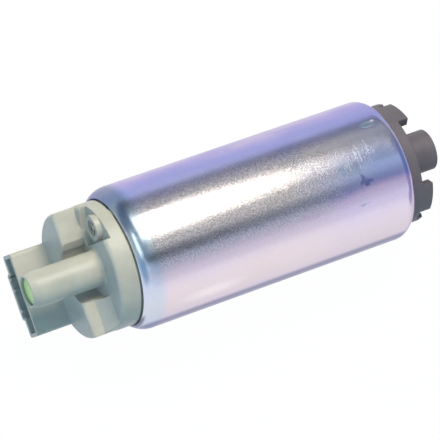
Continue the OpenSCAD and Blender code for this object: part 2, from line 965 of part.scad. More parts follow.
module shaft() {
    color(bright_steel)
        difference() {
            rod(shaft_x, shaft_end_x, shaft_r);
            along_x(flat_x, shaft_end_x + over)
                box_2d(shaft_r - flat_depth, shaft_r + over, -shaft_r - over, shaft_r + over);
        }
}

// Outline of the armature's stack, with a round slot for each coil
module slotted_2d() {
    difference() {
        circle(r = core_r);
        circle(r = shaft_r + press_gap);
        for (i = [0:slots - 1])
            rotate(360 * i / slots) {
                translate([0, slot_place])
                    circle(r = slot_r);
                box_2d(-slot_mouth / 2, slot_mouth / 2, slot_place, core_r + over);
            }
    }
}

module armature_core() {
    color(bright_steel)
        along_x(core_x, core_x + core_len)
            slotted_2d();
}

module upper_insulator() {
    color("darkred")
        along_x(core_x - insulator_t, core_x)
            slotted_2d();
}

module lower_insulator() {
    color("darkred")
        along_x(core_x + core_len, core_x + core_len + insulator_t)
            slotted_2d();
}

module armature_windings() {
    start = core_x - insulator_t - seat_gap;
    end = core_x + core_len + insulator_t + seat_gap;
    color(copper) {
        for (x0 = [start - head_len, end])
            turned()
                round_box_2d(head_ri, head_ro, x0, x0 + head_len, 1);
        for (i = [0:slots - 1])
            rotate([360 * i / slots, 0, 0])
                rod(start - sink, end + sink, slot_r - slot_liner, 0, slot_place);
    }
}

module commutator_hub() {
    color(carbon)
        turned() {
            box_2d(shaft_r + press_gap, sleeve_r - press_gap, commutator_x, hub_x + sink);
            box_2d(shaft_r + press_gap, commutator_r, hub_x, hub_x + hub_t);
            box_2d(shaft_r + press_gap, commutator_r / 2, hub_x, hub_end_x);
        }
}

module commutator_segments() {
    color(copper)
        along_x(commutator_x, hub_x)
            difference() {
                circle(r = commutator_r);
                circle(r = sleeve_r);
                for (i = [0:slots / 2 - 1])
                    rotate((i + 0.5) * 360 / slots)
                        square([commutator_d + over, segment_slot], center = true);
            }
}

module upper_washer() {
    color(bright_steel)
        sleeve(upper_boss_x + washer_gap, upper_boss_x + washer_gap + washer_t, washer_r, shaft_r + press_gap);
}

module lower_washer() {
    color(bright_steel)
        sleeve(body_x - washer_gap - washer_t, body_x - washer_gap, washer_r, shaft_r + press_gap);
}

module magnet(turn) {
    color(ferrite)
        along_x(motor_mid_x - magnet_len / 2, motor_mid_x + magnet_len / 2)
            intersection() {
                difference() {
                    circle(r = magnet_ro);
                    circle(r = magnet_ri);
                }
                wedge_2d(magnet_span / 2, turn);
            }
}

module magnet_front() {
    magnet(0);
}

module magnet_back() {
    magnet(180);
}

// Spring clip between the magnets' ends: a band on the can's wall with two legs
module magnet_clip(turn) {
    half_len = magnet_len / 2 - clip_inset;
    leg_turn = 90 - magnet_span / 2 - clip_turn;
    color(bright_steel)
        along_x(motor_mid_x - half_len, motor_mid_x + half_len) {
            intersection() {
                difference() {
                    circle(r = magnet_ro);
                    circle(r = magnet_ro - clip_t);
                }
                wedge_2d(leg_turn, turn);
            }
            for (side = [-1, 1])
                rotate(-turn + side * leg_turn)
                    box_2d(-clip_t / 2, clip_t / 2, magnet_ro - clip_leg, magnet_ro - clip_t / 4);
        }
}

module magnet_clip_upper() {
    magnet_clip(90);
}

module magnet_clip_lower() {
    magnet_clip(-90);
}

// Flow channel cut beside the impeller, shut between inlet and discharge by the stripper
module flow_channel(x0, x1) {
    stripper_half = 14;
    stripper_turn = 27;
    along_x(x0, x1)
        difference() {
            circle(r = channel_r + channel_half);
            circle(r = channel_r - channel_half);
            wedge_2d(stripper_half, stripper_turn);
        }
}

module pump_body() {
    discharge_turn = 52;
    discharge_r = 1.3;
    color(dark_plastic)
        difference() {
            rod(body_x, stage_x, fit_r);
            rod(chamber_x, stage_x + over, impeller_r + impeller_gap);
            rod(body_x - over, body_x + lower_bearing_len, bearing_r + press_gap);
            rod(body_x, chamber_x + over, shaft_r + shaft_room);
            sleeve(body_x - over, body_x + recess_depth, fit_r - recess_wall, bearing_r + recess_hub);
            flow_channel(chamber_x - channel_depth, chamber_x + sink);
            rod(body_x - over, chamber_x + sink, discharge_r, channel_r * sin(discharge_turn),
                channel_r * cos(discharge_turn));
        }
}

module impeller() {
    vane_t = 0.9;
    color("darkslategray")
        along_x(impeller_x, impeller_x + impeller_t)
            difference() {
                circle(r = impeller_r);
                difference() {
                    circle(r = shaft_r + seat_gap);
                    box_2d(shaft_r - flat_depth + seat_gap, shaft_d, -shaft_d, shaft_d);
                }
                difference() {
                    circle(r = channel_r + channel_half - pocket_inset);
                    circle(r = channel_r - channel_half + pocket_inset);
                    for (i = [0:vanes - 1])
                        rotate(360 * i / vanes)
                            box_2d(-vane_t / 2, vane_t / 2, 0, impeller_r);
                }
            }
}

module thrust_pad() {
    color(bright_steel)
        rod(pad_x, pad_x + pad_t, pad_r);
}

// Raised segment on the rim of the inlet cover's plate between two angles from +Z
module plate_tab(from_turn, to_turn) {
    tab_r = plate_r - tab_inset;
    along_x(plate_x - sink, tab_x)
        intersection() {
            difference() {
                circle(r = tab_r);
                circle(r = tab_r - tab_t);
            }
            wedge_2d(abs(to_turn - from_turn) / 2, (from_turn + to_turn) / 2);
        }
}

module inlet_cover() {
    port_z = inlet_z + inlet_bore_r + sink;
    color(dark_plastic)
        difference() {
            union() {
                turned()
                    difference() {
                        union() {
                            intersection() {
                                can_inside_2d(can_wall + seat_gap);
                                box_2d(0, can_r, stage_x, inlet_lip_x);
                            }
                            box_2d(0, plate_r, stage_x, plate_x);
                        }
                        box_2d(plate_r, can_r, inlet_lip_x - can_wall / 2, plate_x + over);
                        round_off_2d(plate_r, plate_x, -1, -1, plate_fillet);
                    }
                for (turn = tab_turns)
                    plate_tab(turn[0], turn[1]);
                intersection() {
                    rod(plate_x - over, plate_x + lug_reach, plate_r);
                    union() {
                        along_x(plate_x - over, plate_x + lug_reach)
                            box_2d(lug_y, can_r, lug_from_z, lug_to_z);
                        along_x(plate_x - over, plate_x + lug_reach)
                            box_2d(-can_r, -lug_y, lug_from_z, lug_to_z);
                    }
                }
                rod(plate_x - sink, inlet_x, inlet_r, inlet_y, inlet_z);
            }
            rod(stage_x + inlet_floor, inlet_x + over, inlet_bore_r, inlet_y, inlet_z);
            rod(stage_x - over, stage_x + inlet_port_len, inlet_port_r, inlet_y, port_z);
            rod(stage_x - over, pad_x + pad_t + press_gap, pad_r + press_gap);
            flow_channel(stage_x - over, stage_x + channel_depth);
        }
}

can();
outlet_cover();
outlet_seal_ring();
check_valve_guide();
check_valve_poppet();
check_valve_seal();
check_valve_spring();
relief_valve_retainer();
relief_valve_ball();
relief_valve_spring();
terminal_positive();
terminal_negative();
choke_core_positive();
choke_core_negative();
choke_winding_positive();
choke_winding_negative();
brush_positive();
brush_negative();
brush_spring_positive();
brush_spring_negative();
brush_lead_positive();
brush_lead_negative();
upper_bearing();
lower_bearing();
shaft();
armature_core();
armature_windings();
upper_insulator();
lower_insulator();
commutator_hub();
commutator_segments();
upper_washer();
lower_washer();
magnet_front();
magnet_back();
magnet_clip_upper();
magnet_clip_lower();
pump_body();
impeller();
thrust_pad();
inlet_cover();
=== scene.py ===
"""Looks of an in-tank electric fuel pump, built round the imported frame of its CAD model."""

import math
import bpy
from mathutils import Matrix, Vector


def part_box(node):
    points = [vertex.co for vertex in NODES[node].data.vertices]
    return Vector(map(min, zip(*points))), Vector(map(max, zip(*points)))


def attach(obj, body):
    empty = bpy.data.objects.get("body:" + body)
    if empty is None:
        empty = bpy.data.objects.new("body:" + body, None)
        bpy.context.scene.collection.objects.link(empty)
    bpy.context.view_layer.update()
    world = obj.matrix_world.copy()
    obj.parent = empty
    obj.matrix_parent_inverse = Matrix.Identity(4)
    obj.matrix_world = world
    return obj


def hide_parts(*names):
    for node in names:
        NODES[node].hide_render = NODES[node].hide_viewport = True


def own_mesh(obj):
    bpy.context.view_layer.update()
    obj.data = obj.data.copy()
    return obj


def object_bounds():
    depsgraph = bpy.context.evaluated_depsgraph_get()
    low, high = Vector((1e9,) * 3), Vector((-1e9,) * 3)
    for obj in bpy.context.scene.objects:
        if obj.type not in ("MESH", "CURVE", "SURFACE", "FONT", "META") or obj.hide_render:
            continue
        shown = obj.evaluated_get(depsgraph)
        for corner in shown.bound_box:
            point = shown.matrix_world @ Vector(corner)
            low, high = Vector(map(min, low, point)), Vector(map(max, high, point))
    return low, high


bl_info = {
    "name": "Fuel pump looks",
    "version": (1, 0, 0),
    "blender": (4, 5, 0),
    "location": "View3D > Sidebar > Fuel pump",
    "description": "Plated can, moulded covers, valves, brush motor and turbine stage of a fuel pump",
    "category": "Object",
}

import bmesh
import bpy
from bpy.props import FloatProperty, FloatVectorProperty, IntProperty, PointerProperty
from bpy.types import Operator, Panel, PropertyGroup
from mathutils import Matrix, Vector

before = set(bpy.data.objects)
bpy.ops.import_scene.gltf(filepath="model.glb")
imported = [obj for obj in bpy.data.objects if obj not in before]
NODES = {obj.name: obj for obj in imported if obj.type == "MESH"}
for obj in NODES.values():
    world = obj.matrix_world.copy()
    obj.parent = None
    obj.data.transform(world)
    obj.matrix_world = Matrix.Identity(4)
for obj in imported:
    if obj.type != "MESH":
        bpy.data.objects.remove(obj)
CAD_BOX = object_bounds()
MM = 0.001
X_AXIS = (1.0, 0.0, 0.0)


# ---------------------------------------------------------------- settings


def size(name, description, default):
    """A length in metres."""
    return FloatProperty(name=name, description=description, default=default, min=0.0, unit="LENGTH", precision=5)


def share(name, description, default):
    """A value from 0 to 1."""
    return FloatProperty(name=name, description=description, default=default, min=0.0, max=1.0, subtype="FACTOR")


def colour(name, description, default):
    """A linear colour."""
    return FloatVectorProperty(name=name, description=description, default=default, size=3, min=0.0, max=1.0,
                               subtype="COLOR")


def node_radius(node):
    """Half the height of a node, in metres."""
    low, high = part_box(node)
    return (high.z - low.z) / 2


class PumpCanSettings(PropertyGroup):
    """Rolled steel can."""

    wall: size("Sheet", "Thickness of the steel sheet", 0.0012)
    outlet_drop: size("Outlet lip drop", "How far the lip at the outlet end is rolled in", 0.002)
    inlet_drop: size("Inlet lip drop", "How far the lip at the inlet end is rolled in", 0.0023)
    outlet_shoulder: size("Outlet shoulder", "Length of the shoulder at the outlet end", 0.0044)
    inlet_shoulder: size("Inlet shoulder", "Length of the shoulder at the inlet end", 0.0033)
    lip_round: size("Lip rounding", "Rounding of the sheet's cut edges", 0.0002)
    dimple_depth: size("Dimple depth", "Depth of the staked dimple near the inlet end", 0.00016)
    grain_depth: size("Grain depth", "Relief of the zinc's grain", 0.00002)
    # Contrast of the painted sparkle: flecks of the zinc's grain that stand in for its glints
    painted_fleck_contrast: share("Mottling", "Contrast of the zinc's grain", 0.34)
    roughness: share("Roughness", "Roughness of the plating", 0.21)
    violet: colour("Violet film", "Film colour on the sides", (0.31, 0.34, 0.71))
    blue: colour("Blue film", "Film colour on the front near the inlet end", (0.34, 0.43, 0.70))
    rose: colour("Rose film", "Pale film colour", (0.76, 0.685, 0.82))
    zinc: colour("Bare zinc", "Colour where the film is thin", (0.62, 0.59, 0.58))


class PumpCoverSettings(PropertyGroup):
    """Moulded covers."""

    outlet: colour("Outlet cover", "Colour of the outlet cover's plastic", (0.50, 0.51, 0.46))
    inlet: colour("Inlet cover", "Colour of the inlet cover's plastic", (0.126, 0.114, 0.143))
    edge: size("Edge rounding", "Rounding of the moulded edges", 0.0003)
    gloss: share("Roughness", "Roughness of the moulded plastic", 0.33)


class PumpValveSettings(PropertyGroup):
    """Check valve and relief valve."""

    poppet: colour("Poppet", "Colour of the check valve poppet", (0.72, 0.92, 0.34))
    rubber: colour("Rubber", "Colour of the seals", (0.02, 0.02, 0.02))


class PumpMotorSettings(PropertyGroup):
    """Motor and turbine stage."""

    copper: colour("Copper", "Colour of windings and leads", (0.72, 0.30, 0.14))
    bronze: colour("Bronze", "Colour of bearings and terminals", (0.62, 0.43, 0.20))
    steel: colour("Steel", "Colour of bright steel", (0.56, 0.57, 0.58))
    ferrite: colour("Ferrite", "Colour of magnets and choke cores", (0.06, 0.055, 0.055))
    resin: colour("Resin", "Colour of the armature's insulators", (0.25, 0.03, 0.02))
    spring_steps: IntProperty(name="Spring steps", description="Steps in a turn of a spring", default=28, min=8)


class PumpStageSettings(PropertyGroup):
    """Camera, lamps, floor and cards."""

    camera_place: FloatVectorProperty(name="Camera", description="Place of the camera", size=3, subtype="TRANSLATION",
                                      unit="LENGTH", default=(-0.29545, 0.0011, 0.7111))
    look: FloatVectorProperty(name="Look", description="Direction in which the camera looks", size=3,
                              default=(0.3746, 0.0, -0.9272))
    up: FloatVectorProperty(name="Up", description="Direction of the picture's top edge", size=3,
                            default=(0.3064, 0.9438, 0.1238))
    lens: FloatProperty(name="Lens", description="Focal length in millimetres on a 36 mm sensor", default=244.0)
    key_power: FloatProperty(name="Key lamp", description="Power of the key lamp in watts", default=0.33)
    soft_power: FloatProperty(name="Soft lamp", description="Power of the large soft lamp in watts", default=13.0)
    side_power: FloatProperty(name="Side lamp", description="Power of the lamp at the outlet end in watts", default=2.0)
    fill: colour("Fill light", "Colour of the light from all round", (0.24, 0.415, 0.46))
    floor: colour("Floor", "Colour of the floor", (0.35, 0.42, 0.50))


# ---------------------------------------------------------------- node helpers


def feed(tree, socket, value):
    """Links a socket to another node's output, or sets its own value."""
    if isinstance(value, bpy.types.NodeSocket):
        tree.links.new(value, socket)
    elif socket.type == "RGBA":
        socket.default_value = (*value, 1.0)
    else:
        socket.default_value = value


def add_node(tree, kind, settings=None, inputs=None):
    """Adds a node with the given settings, and feeds its inputs."""
    made = tree.nodes.new(kind)
    for key, value in (settings or {}).items():
        setattr(made, key, value)
    for key, value in (inputs or {}).items():
        feed(tree, made.inputs[key], value)
    return made


def seen_rays(tree):
    """1 for the rays of the camera, of reflections and of transmission, else 0."""
    rays = add_node(tree, "ShaderNodeLightPath").outputs
    bent = add_node(tree, "ShaderNodeMath", {"operation": "MAXIMUM"},
                    {0: rays["Is Glossy Ray"], 1: rays["Is Transmission Ray"]}).outputs[0]
    return add_node(tree, "ShaderNodeMath", {"operation": "MAXIMUM"}, {0: rays["Is Camera Ray"], 1: bent}).outputs[0]


class Finish:
    """One material under construction. Patterns are laid out in millimetres of the object's own space."""

    EDGE_SAMPLES = 4

    def __init__(self, name):
        self.material = bpy.data.materials.new(name)
        self.material.use_nodes = True
        self.tree = self.material.node_tree
        self.tree.nodes.clear()
        self.output = self.add("ShaderNodeOutputMaterial")
        self.shader = self.add("ShaderNodeBsdfPrincipled")
        self.show(self.shader)
        place = self.add("ShaderNodeTexCoord").outputs["Object"]
        self.place = self.vector("SCALE", {0: place, "Scale": 1 / MM})

    def add(self, kind, settings=None, inputs=None):
        """Adds a node to the material."""
        return add_node(self.tree, kind, settings, inputs)

    def show(self, node):
        """Makes a shader node the material's surface."""
        self.tree.links.new(node.outputs[0], self.output.inputs["Surface"])

    def vector(self, operation, inputs, out=0):
        """Result of a sum on vectors."""
        return self.add("ShaderNodeVectorMath", {"operation": operation}, inputs).outputs[out]

    def math(self, operation, a, b=0.0):
        """Result of a sum on numbers."""
        return self.add("ShaderNodeMath", {"operation": operation}, {0: a, 1: b}).outputs[0]

    def times(self, a, *more):
        """Product of all the values."""
        for b in more:
            a = self.math("MULTIPLY", a, b)
        return a

    def plus(self, a, *more):
        """Sum of all the values."""
        for b in more:
            a = self.math("ADD", a, b)
        return a

    def hypot(self, a, b):
        """Length of the vector (a, b)."""
        return self.math("SQRT", self.plus(self.times(a, a), self.times(b, b)))

    def axes(self):
        """Place in the object, in mm, as x, y and z."""
        return self.add("ShaderNodeSeparateXYZ", inputs={0: self.place}).outputs[:3]

    def stretched(self, factors):
        """Place in the object, in mm, with each axis times its factor."""
        return self.vector("MULTIPLY", {0: self.place, 1: factors})

    def noise(self, grain, detail=2.0, roughness=0.5, place=None):
        """Noise whose features are grain millimetres across."""
        inputs = {"Vector": place or self.place, "Scale": 1 / grain, "Detail": detail, "Roughness": roughness}
        return self.add("ShaderNodeTexNoise", inputs=inputs).outputs[0]

    def cells(self, grain):
        """Distance to the nearest of points that lie about grain millimetres apart."""
        inputs = {"Vector": self.place, "Scale": 1 / grain}
        return self.add("ShaderNodeTexVoronoi", inputs=inputs).outputs["Distance"]

    def range(self, value, low, high, to_low=0.0, to_high=1.0, smooth=True):
        """Maps the values from low to high onto those from to_low to to_high, and clamps the rest."""
        kind = "SMOOTHSTEP" if smooth else "LINEAR"
        inputs = {"Value": value, "From Min": low, "From Max": high, "To Min": to_low, "To Max": to_high}
        return self.add("ShaderNodeMapRange", {"interpolation_type": kind}, inputs).outputs[0]

    def line(self, value, low, high, to_low=0.0, to_high=1.0):
        """Maps as range does, but straight between its ends."""
        return self.range(value, low, high, to_low, to_high, False)

    def mix(self, share_of_b, a, b, blend="MIX"):
        """Mix of two colours."""
        settings = {"data_type": "RGBA", "blend_type": blend}
        return self.add("ShaderNodeMix", settings, {0: share_of_b, 6: a, 7: b}).outputs[2]

    def shade(self, share_of_tone, base, tone):
        """Base colour, darkened or tinted by a tone where the share is above 0."""
        return self.mix(share_of_tone, base, tone, "MULTIPLY")

    def ramp(self, value, stops):
        """Colour from a row of (value, colour) stops."""
        made = self.add("ShaderNodeValToRGB", inputs={0: value})
        ramp = made.color_ramp
        ramp.interpolation = "B_SPLINE"
        while len(ramp.elements) < len(stops):
            ramp.elements.new(0.5)
        for element, (place, tone) in zip(ramp.elements, stops):
            element.position = place
            element.color = (*tone, 1.0)
        return made.outputs[0]

    def rounded(self, radius):
        """The surface's normal with its edges rounded."""
        return self.add("ShaderNodeBevel", {"samples": self.EDGE_SAMPLES}, {"Radius": radius}).outputs[0]

    def edges(self, radius):
        """About 1 on edges and 0 elsewhere."""
        true_normal = self.add("ShaderNodeNewGeometry").outputs["Normal"]
        same = self.vector("DOT_PRODUCT", {0: true_normal, 1: self.rounded(radius)}, "Value")
        return self.range(same, 0.98, 0.8)

    def bump(self, height, depth, normal=None):
        """Relief of the given depth in metres."""
        inputs = {"Height": height, "Distance": depth}
        if normal is not None:
            inputs["Normal"] = normal
        return self.add("ShaderNodeBump", inputs=inputs).outputs[0]

    def set(self, **inputs):
        """Feeds the shader's inputs and returns the material."""
        for key, value in inputs.items():
            feed(self.tree, self.shader.inputs[key.replace("_", " ")], value)
        return self.material


# ---------------------------------------------------------------- finishes


def scaled(tone, factor):
    """A colour times a factor, at most white."""
    return tuple(min(1.0, c * factor) for c in tone)


# Tint and painted shade of the can's outlet end: their reach along X and in Y in mm, from none to full, and the tone.
# First a bluish tint of the whole shoulder, then a painted shade on its upper part, then a painted shadow in the gap
# between the lip and the cover at the bottom.
SHOULDER_TINT_AND_SHADE = (
    ((-32.5, -36.5), None, (0.80, 0.98, 1.05)),
    # Painted shade on the upper shoulder
    ((-33.5, -37.0), (7.0, 13.0), (0.66, 0.68, 0.56)),
    # Painted shadow in the gap between the lip and the cover
    ((-38.9, -39.5), (-14.8, -16.2), (0.30, 0.33, 0.36)),
)
# Painted highlight on the can: a pale streak that stands in for the reflection of a weak lamp. Middle in X and Y, half
# length and half width in mm, share and tone
PAINTED_HIGHLIGHT_STREAK = (-21.0, -14.9, 12.0, 1.8, 0.55, (0.98, 0.90, 0.93))
# Stains on the can, and a painted glint: middle in X and Y, half sizes in X and Y in mm, tone and share. The last two
# lie in the dimple: a teal tint, and a painted glint, a small white dot.
STAINS_AND_DIMPLE_GLINT = (
    (26.0, -2.3, 1.6, 1.1, (0.13, 0.18, 0.50), 0.75),
    (25.2, -1.2, 0.7, 1.7, (0.12, 0.16, 0.46), 0.6),
    (24.0, -7.4, 1.5, 0.35, (0.42, 0.50, 0.72), 0.7),
    (23.0, 2.6, 3.5, 2.0, (0.30, 0.42, 0.52), 0.4),
    (9.0, -6.0, 3.0, 0.8, (0.70, 0.52, 0.78), 0.4),
    (33.3, 11.9, 2.3, 0.9, (0.34, 0.52, 0.62), 0.6),
    # Painted glint: a small white dot in the dimple
    (34.9, 12.4, 0.7, 0.4, (0.98, 0.98, 1.0), 0.8),
)
# Rubbed lines on the can: place in X, lowest and highest Y, and half width in mm
RUBBED_LINES = (
    (25.6, 1.0, 7.5, 0.12),
    (26.5, 2.5, 8.3, 0.10),
    (29.4, 5.0, 9.0, 0.10),
    (22.8, 1.5, 4.6, 0.09),
    (30.6, 3.8, 7.0, 0.08),
)
RUBBED_TONE, RUBBED_SHARE, RUBBED_FADE = (0.86, 0.88, 0.92), 0.36, 0.8


def plated_sheet(settings):
    """Zinc plating under a thin passivation film, whose hue drifts round the can and along it, with painted highlights,
    a painted glint, painted sparkle and painted shade laid into its colour.
    """
    made = Finish("plated_sheet")
    x, y, z = made.axes()
    height = made.times(y, 1 / (node_radius("can") / MM))
    film = film_hues(made, settings, x, height)
    film = marks_and_painted_highlights(made, film, x, y, z)
    film = outlet_painted_shade_and_tint(made, film, x, y, height)
    fleck = made.noise(0.42, 3.0, 0.8)
    film = grain_and_painted_sparkle(made, film, settings, fleck, x, y)
    # Lighter edges: partly worn, partly a painted sheen on the edges
    edge_wear_and_sheen = made.times(made.edges(0.0004), made.range(made.noise(1.5, 3.0), 0.35, 0.6, 0.3, 1.0))
    film = made.mix(made.times(edge_wear_and_sheen, 0.6), film, (0.88, 0.88, 0.92))
    film = inlet_tones_and_lip_highlight(made, film, x)
    lines = made.noise(0.4, 3.0, 0.6, made.stretched((1.0, 0.045, 0.045)))
    scratch = made.times(made.range(lines, 0.67, 0.74), made.range(made.noise(9.0, 1.0), 0.5, 0.62))
    film = made.mix(made.times(scratch, 0.35), film, (0.85, 0.86, 0.88))
    spread = 0.03
    rough = made.line(made.noise(6.0, 4.0, 0.6), 0.3, 0.7, settings.roughness - spread, settings.roughness + spread)
    rough = made.plus(rough, made.times(scratch, 0.08))
    peel = made.bump(made.noise(0.8, 2.0, 0.5), 0.000006, made.rounded(0.00025))
    relief = made.bump(fleck, settings.grain_depth, peel)
    return made.set(Base_Color=film, Roughness=rough, Normal=relief, Metallic=1.0, Specular_Tint=(0.80, 0.76, 0.92))


def film_hues(made, settings, x, height):
    """Film colours by height on the can, from its lower outline (-1) to its upper one (1), at either end."""
    drift = made.noise(22.0, 3.0, 0.55)
    patch = made.noise(6.0, 3.0, 0.55, made.stretched((0.35, 1.0, 1.0)))
    height = made.plus(height, made.line(drift, 0.3, 0.7, -0.04, 0.04), made.line(patch, 0.3, 0.7, -0.025, 0.025))
    place = made.line(height, -1.0, 1.0)
    rose, blue, violet, zinc = (tuple(c) for c in (settings.rose, settings.blue, settings.violet, settings.zinc))
    pink, slate = (0.74, 0.62, 0.88), (0.50, 0.51, 0.66)
    outlet_end = made.ramp(place, [
        (0.000, (0.66, 0.62, 0.74)),
        (0.060, (0.76, 0.67, 0.70)),
        (0.160, (0.82, 0.71, 0.76)),
        (0.260, rose),
        (0.340, scaled(rose, 0.95)),
        (0.400, (0.60, 0.66, 0.82)),
        (0.450, (0.50, 0.54, 0.64)),
        (0.500, zinc),
        (0.620, zinc),
        (0.740, zinc),
        (0.800, slate),
        (0.860, (0.40, 0.42, 0.68)),
        (0.920, violet),
        (0.975, (0.52, 0.47, 0.74)),
        (1.000, scaled(rose, 0.92)),
    ])
    inlet_end = made.ramp(place, [
        (0.000, (0.66, 0.62, 0.74)),
        (0.070, (0.74, 0.66, 0.68)),
        (0.200, rose),
        (0.330, (0.74, 0.68, 0.94)),
        (0.385, pink),
        (0.425, scaled(violet, 1.15)),
        (0.470, scaled(blue, 1.05)),
        (0.560, scaled(blue, 1.25)),
        (0.640, (0.43, 0.47, 0.61)),
        (0.720, (0.51, 0.53, 0.63)),
        (0.790, (0.42, 0.46, 0.62)),
        (0.860, violet),
        (0.925, (0.37, 0.37, 0.70)),
        (0.970, (0.53, 0.48, 0.75)),
        (1.000, scaled(rose, 0.92)),
    ])
    along = made.plus(x, made.line(drift, 0.3, 0.7, -9.0, 9.0))
    return made.mix(made.range(along, 4.0, 28.0), outlet_end, inlet_end)


def marks_and_painted_highlights(made, film, x, y, z):
    """A painted highlight, a pale streak near the outlet end; small stains, a painted glint in the dimple and rubbed
    lines near the inlet end; all on the +Z side.
    """
    front = made.range(z, 0.0, 2.0)
    # Painted highlight: a pale streak that stands in for a weak lamp's reflection
    place_x, place_y, half_x, half_y, amount, tone = PAINTED_HIGHLIGHT_STREAK
    reach = made.hypot(made.times(made.plus(x, -place_x), 1 / half_x), made.times(made.plus(y, -place_y), 1 / half_y))
    film = made.mix(made.times(made.range(reach, 1.0, 0.1, 0.0, amount), front), film, tone)
    # Stains, and as the last entry a painted glint in the dimple
    for place_x, place_y, half_x, half_y, tone, amount in STAINS_AND_DIMPLE_GLINT:
        wobble = made.line(made.noise(1.6, 2.0), 0.3, 0.7, -0.45, 0.45)
        away_x = made.times(made.math("SUBTRACT", x, place_x), 1 / half_x)
        away_y = made.times(made.math("SUBTRACT", y, place_y), 1 / half_y)
        reach = made.plus(made.hypot(away_x, away_y), wobble)
        film = made.mix(made.times(made.range(reach, 1.25, 0.45, 0.0, amount), front), film, tone)
    for place_x, from_y, to_y, half in RUBBED_LINES:
        bend = made.line(made.noise(5.0, 1.0), 0.3, 0.7, -0.18, 0.18)
        off = made.math("ABSOLUTE", made.plus(made.math("SUBTRACT", x, place_x), bend))
        rubbed = made.times(
            made.range(off, half * 2.2, half * 0.4), made.range(y, from_y, from_y + RUBBED_FADE),
            made.range(y, to_y, to_y - RUBBED_FADE), front, RUBBED_SHARE)
        film = made.mix(rubbed, film, RUBBED_TONE)
    return film


def outlet_painted_shade_and_tint(made, film, x, y, height):
    """Painted shade: a dark line along the can's lower outline, for the reflected shadow under the can; and a tint, a
    painted shade and a painted shadow on its shoulder at the outlet end.
    """
    # Painted shade: a dark line along the lower outline, the reflection of the shadow under the can
    film = made.mix(made.times(made.range(height, -0.90, -0.955), 0.85), film, (0.15, 0.19, 0.25))
    for reach_x, reach_y, tone in SHOULDER_TINT_AND_SHADE:
        amount = made.range(x, *reach_x)
        if reach_y:
            amount = made.times(amount, made.range(y, *reach_y))
        film = made.shade(amount, film, tone)
    return film


def grain_and_painted_sparkle(made, film, settings, fleck, x, y):
    """Painted sparkle: dark and white flecks of the zinc's grain that stand in for its glints, painted in the middle of
    the side that faces +Z, where the highlight's edges and the dark band lie, and weaker towards both ends.
    """
    sparkle_share = made.times(
        made.range(y, -8.0, -3.0), made.range(y, 14.5, 10.5), made.range(x, -35.8, -34.2, 0.25, 1.0),
        made.range(x, 30.0, 4.0, 0.15, 1.0))
    sparkle_share = made.times(made.range(sparkle_share, 0.0, 1.0, 0.12, 1.0), settings.painted_fleck_contrast)
    film = made.mix(made.times(made.line(fleck, 0.52, 0.36), sparkle_share), film, scaled(settings.zinc, 0.15))
    return made.mix(made.times(made.line(fleck, 0.50, 0.66), sparkle_share), film, (1.0, 1.0, 1.0))


def inlet_tones_and_lip_highlight(made, film, x):
    """Darker shoulder of the can at the inlet end, and a painted highlight, a pale line, along its lip."""
    film = made.shade(made.range(x, 37.0, 38.6), film, (0.79, 0.78, 0.82))
    # Painted highlight: a pale line along the lip
    return made.mix(made.range(x, 39.0, 39.4, 0.0, 0.55), film, (0.84, 0.80, 0.88))


def moulded(name, tone, settings, shadow=0.9, roughness=None):
    """Glass-filled moulding: faint flow streaks, fine texture, and edges painted a little lighter, partly rubbed and
    partly a painted highlight on the rounded edges.
    """
    rest = settings.gloss if roughness is None else roughness
    texture, depth = 0.35, 0.000008
    made = Finish(name)
    tone = tuple(tone)
    cloud = made.noise(6.0, 3.0, 0.55)
    streak = made.noise(0.8, 3.0, 0.6, made.stretched((0.12, 1.0, 1.0)))
    speck = made.noise(0.18, 2.0, 0.6)
    base = made.mix(made.line(cloud, 0.3, 0.7), scaled(tone, shadow), scaled(tone, 1.07))
    base = made.mix(made.line(streak, 0.4, 0.75, 0.0, 0.22), base, scaled(tone, 0.8))
    base = made.mix(made.range(speck, 0.62, 0.78, 0.0, 0.35), base, scaled(tone, 1.3))
    # Lighter edges: partly rubbed, partly a painted highlight on the rounded edges
    base = made.mix(made.times(made.edges(settings.edge), 0.35), base, scaled(tone, 1.45))
    rough = made.line(cloud, 0.25, 0.75, rest - 0.05, rest + 0.07)
    rough = made.plus(rough, made.line(speck, 0.4, 0.7, -0.03, 0.05))
    relief = made.bump(made.noise(texture, 3.0, 0.6), depth, made.rounded(settings.edge))
    return made.set(Base_Color=base, Roughness=rough, Normal=relief, IOR=1.5, Specular_IOR_Level=0.5)


def turned_metal(name, tone, roughness=0.28, pitch=0.12, depth=0.000003):
    """Machined metal with fine tool marks round the X axis."""
    made = Finish(name)
    tone = tuple(tone)
    marks = made.noise(pitch, 3.0, 0.6, made.stretched((1.0, 0.05, 0.05)))
    cloud = made.noise(2.5, 3.0, 0.6)
    base = made.mix(made.line(marks, 0.3, 0.7, 0.0, 0.3), tone, scaled(tone, 0.78))
    base = made.mix(made.range(cloud, 0.5, 0.75, 0.0, 0.3), base, scaled(tone, 0.7))
    # Lighter edges: partly worn, partly a painted highlight on the edges
    base = made.mix(made.times(made.edges(0.0001), 0.5), base, scaled(tone, 1.35))
    rough = made.line(marks, 0.3, 0.7, roughness - 0.05, roughness + 0.08)
    relief = made.bump(marks, depth, made.rounded(0.0001))
    return made.set(Base_Color=base, Roughness=rough, Metallic=1.0, Normal=relief)


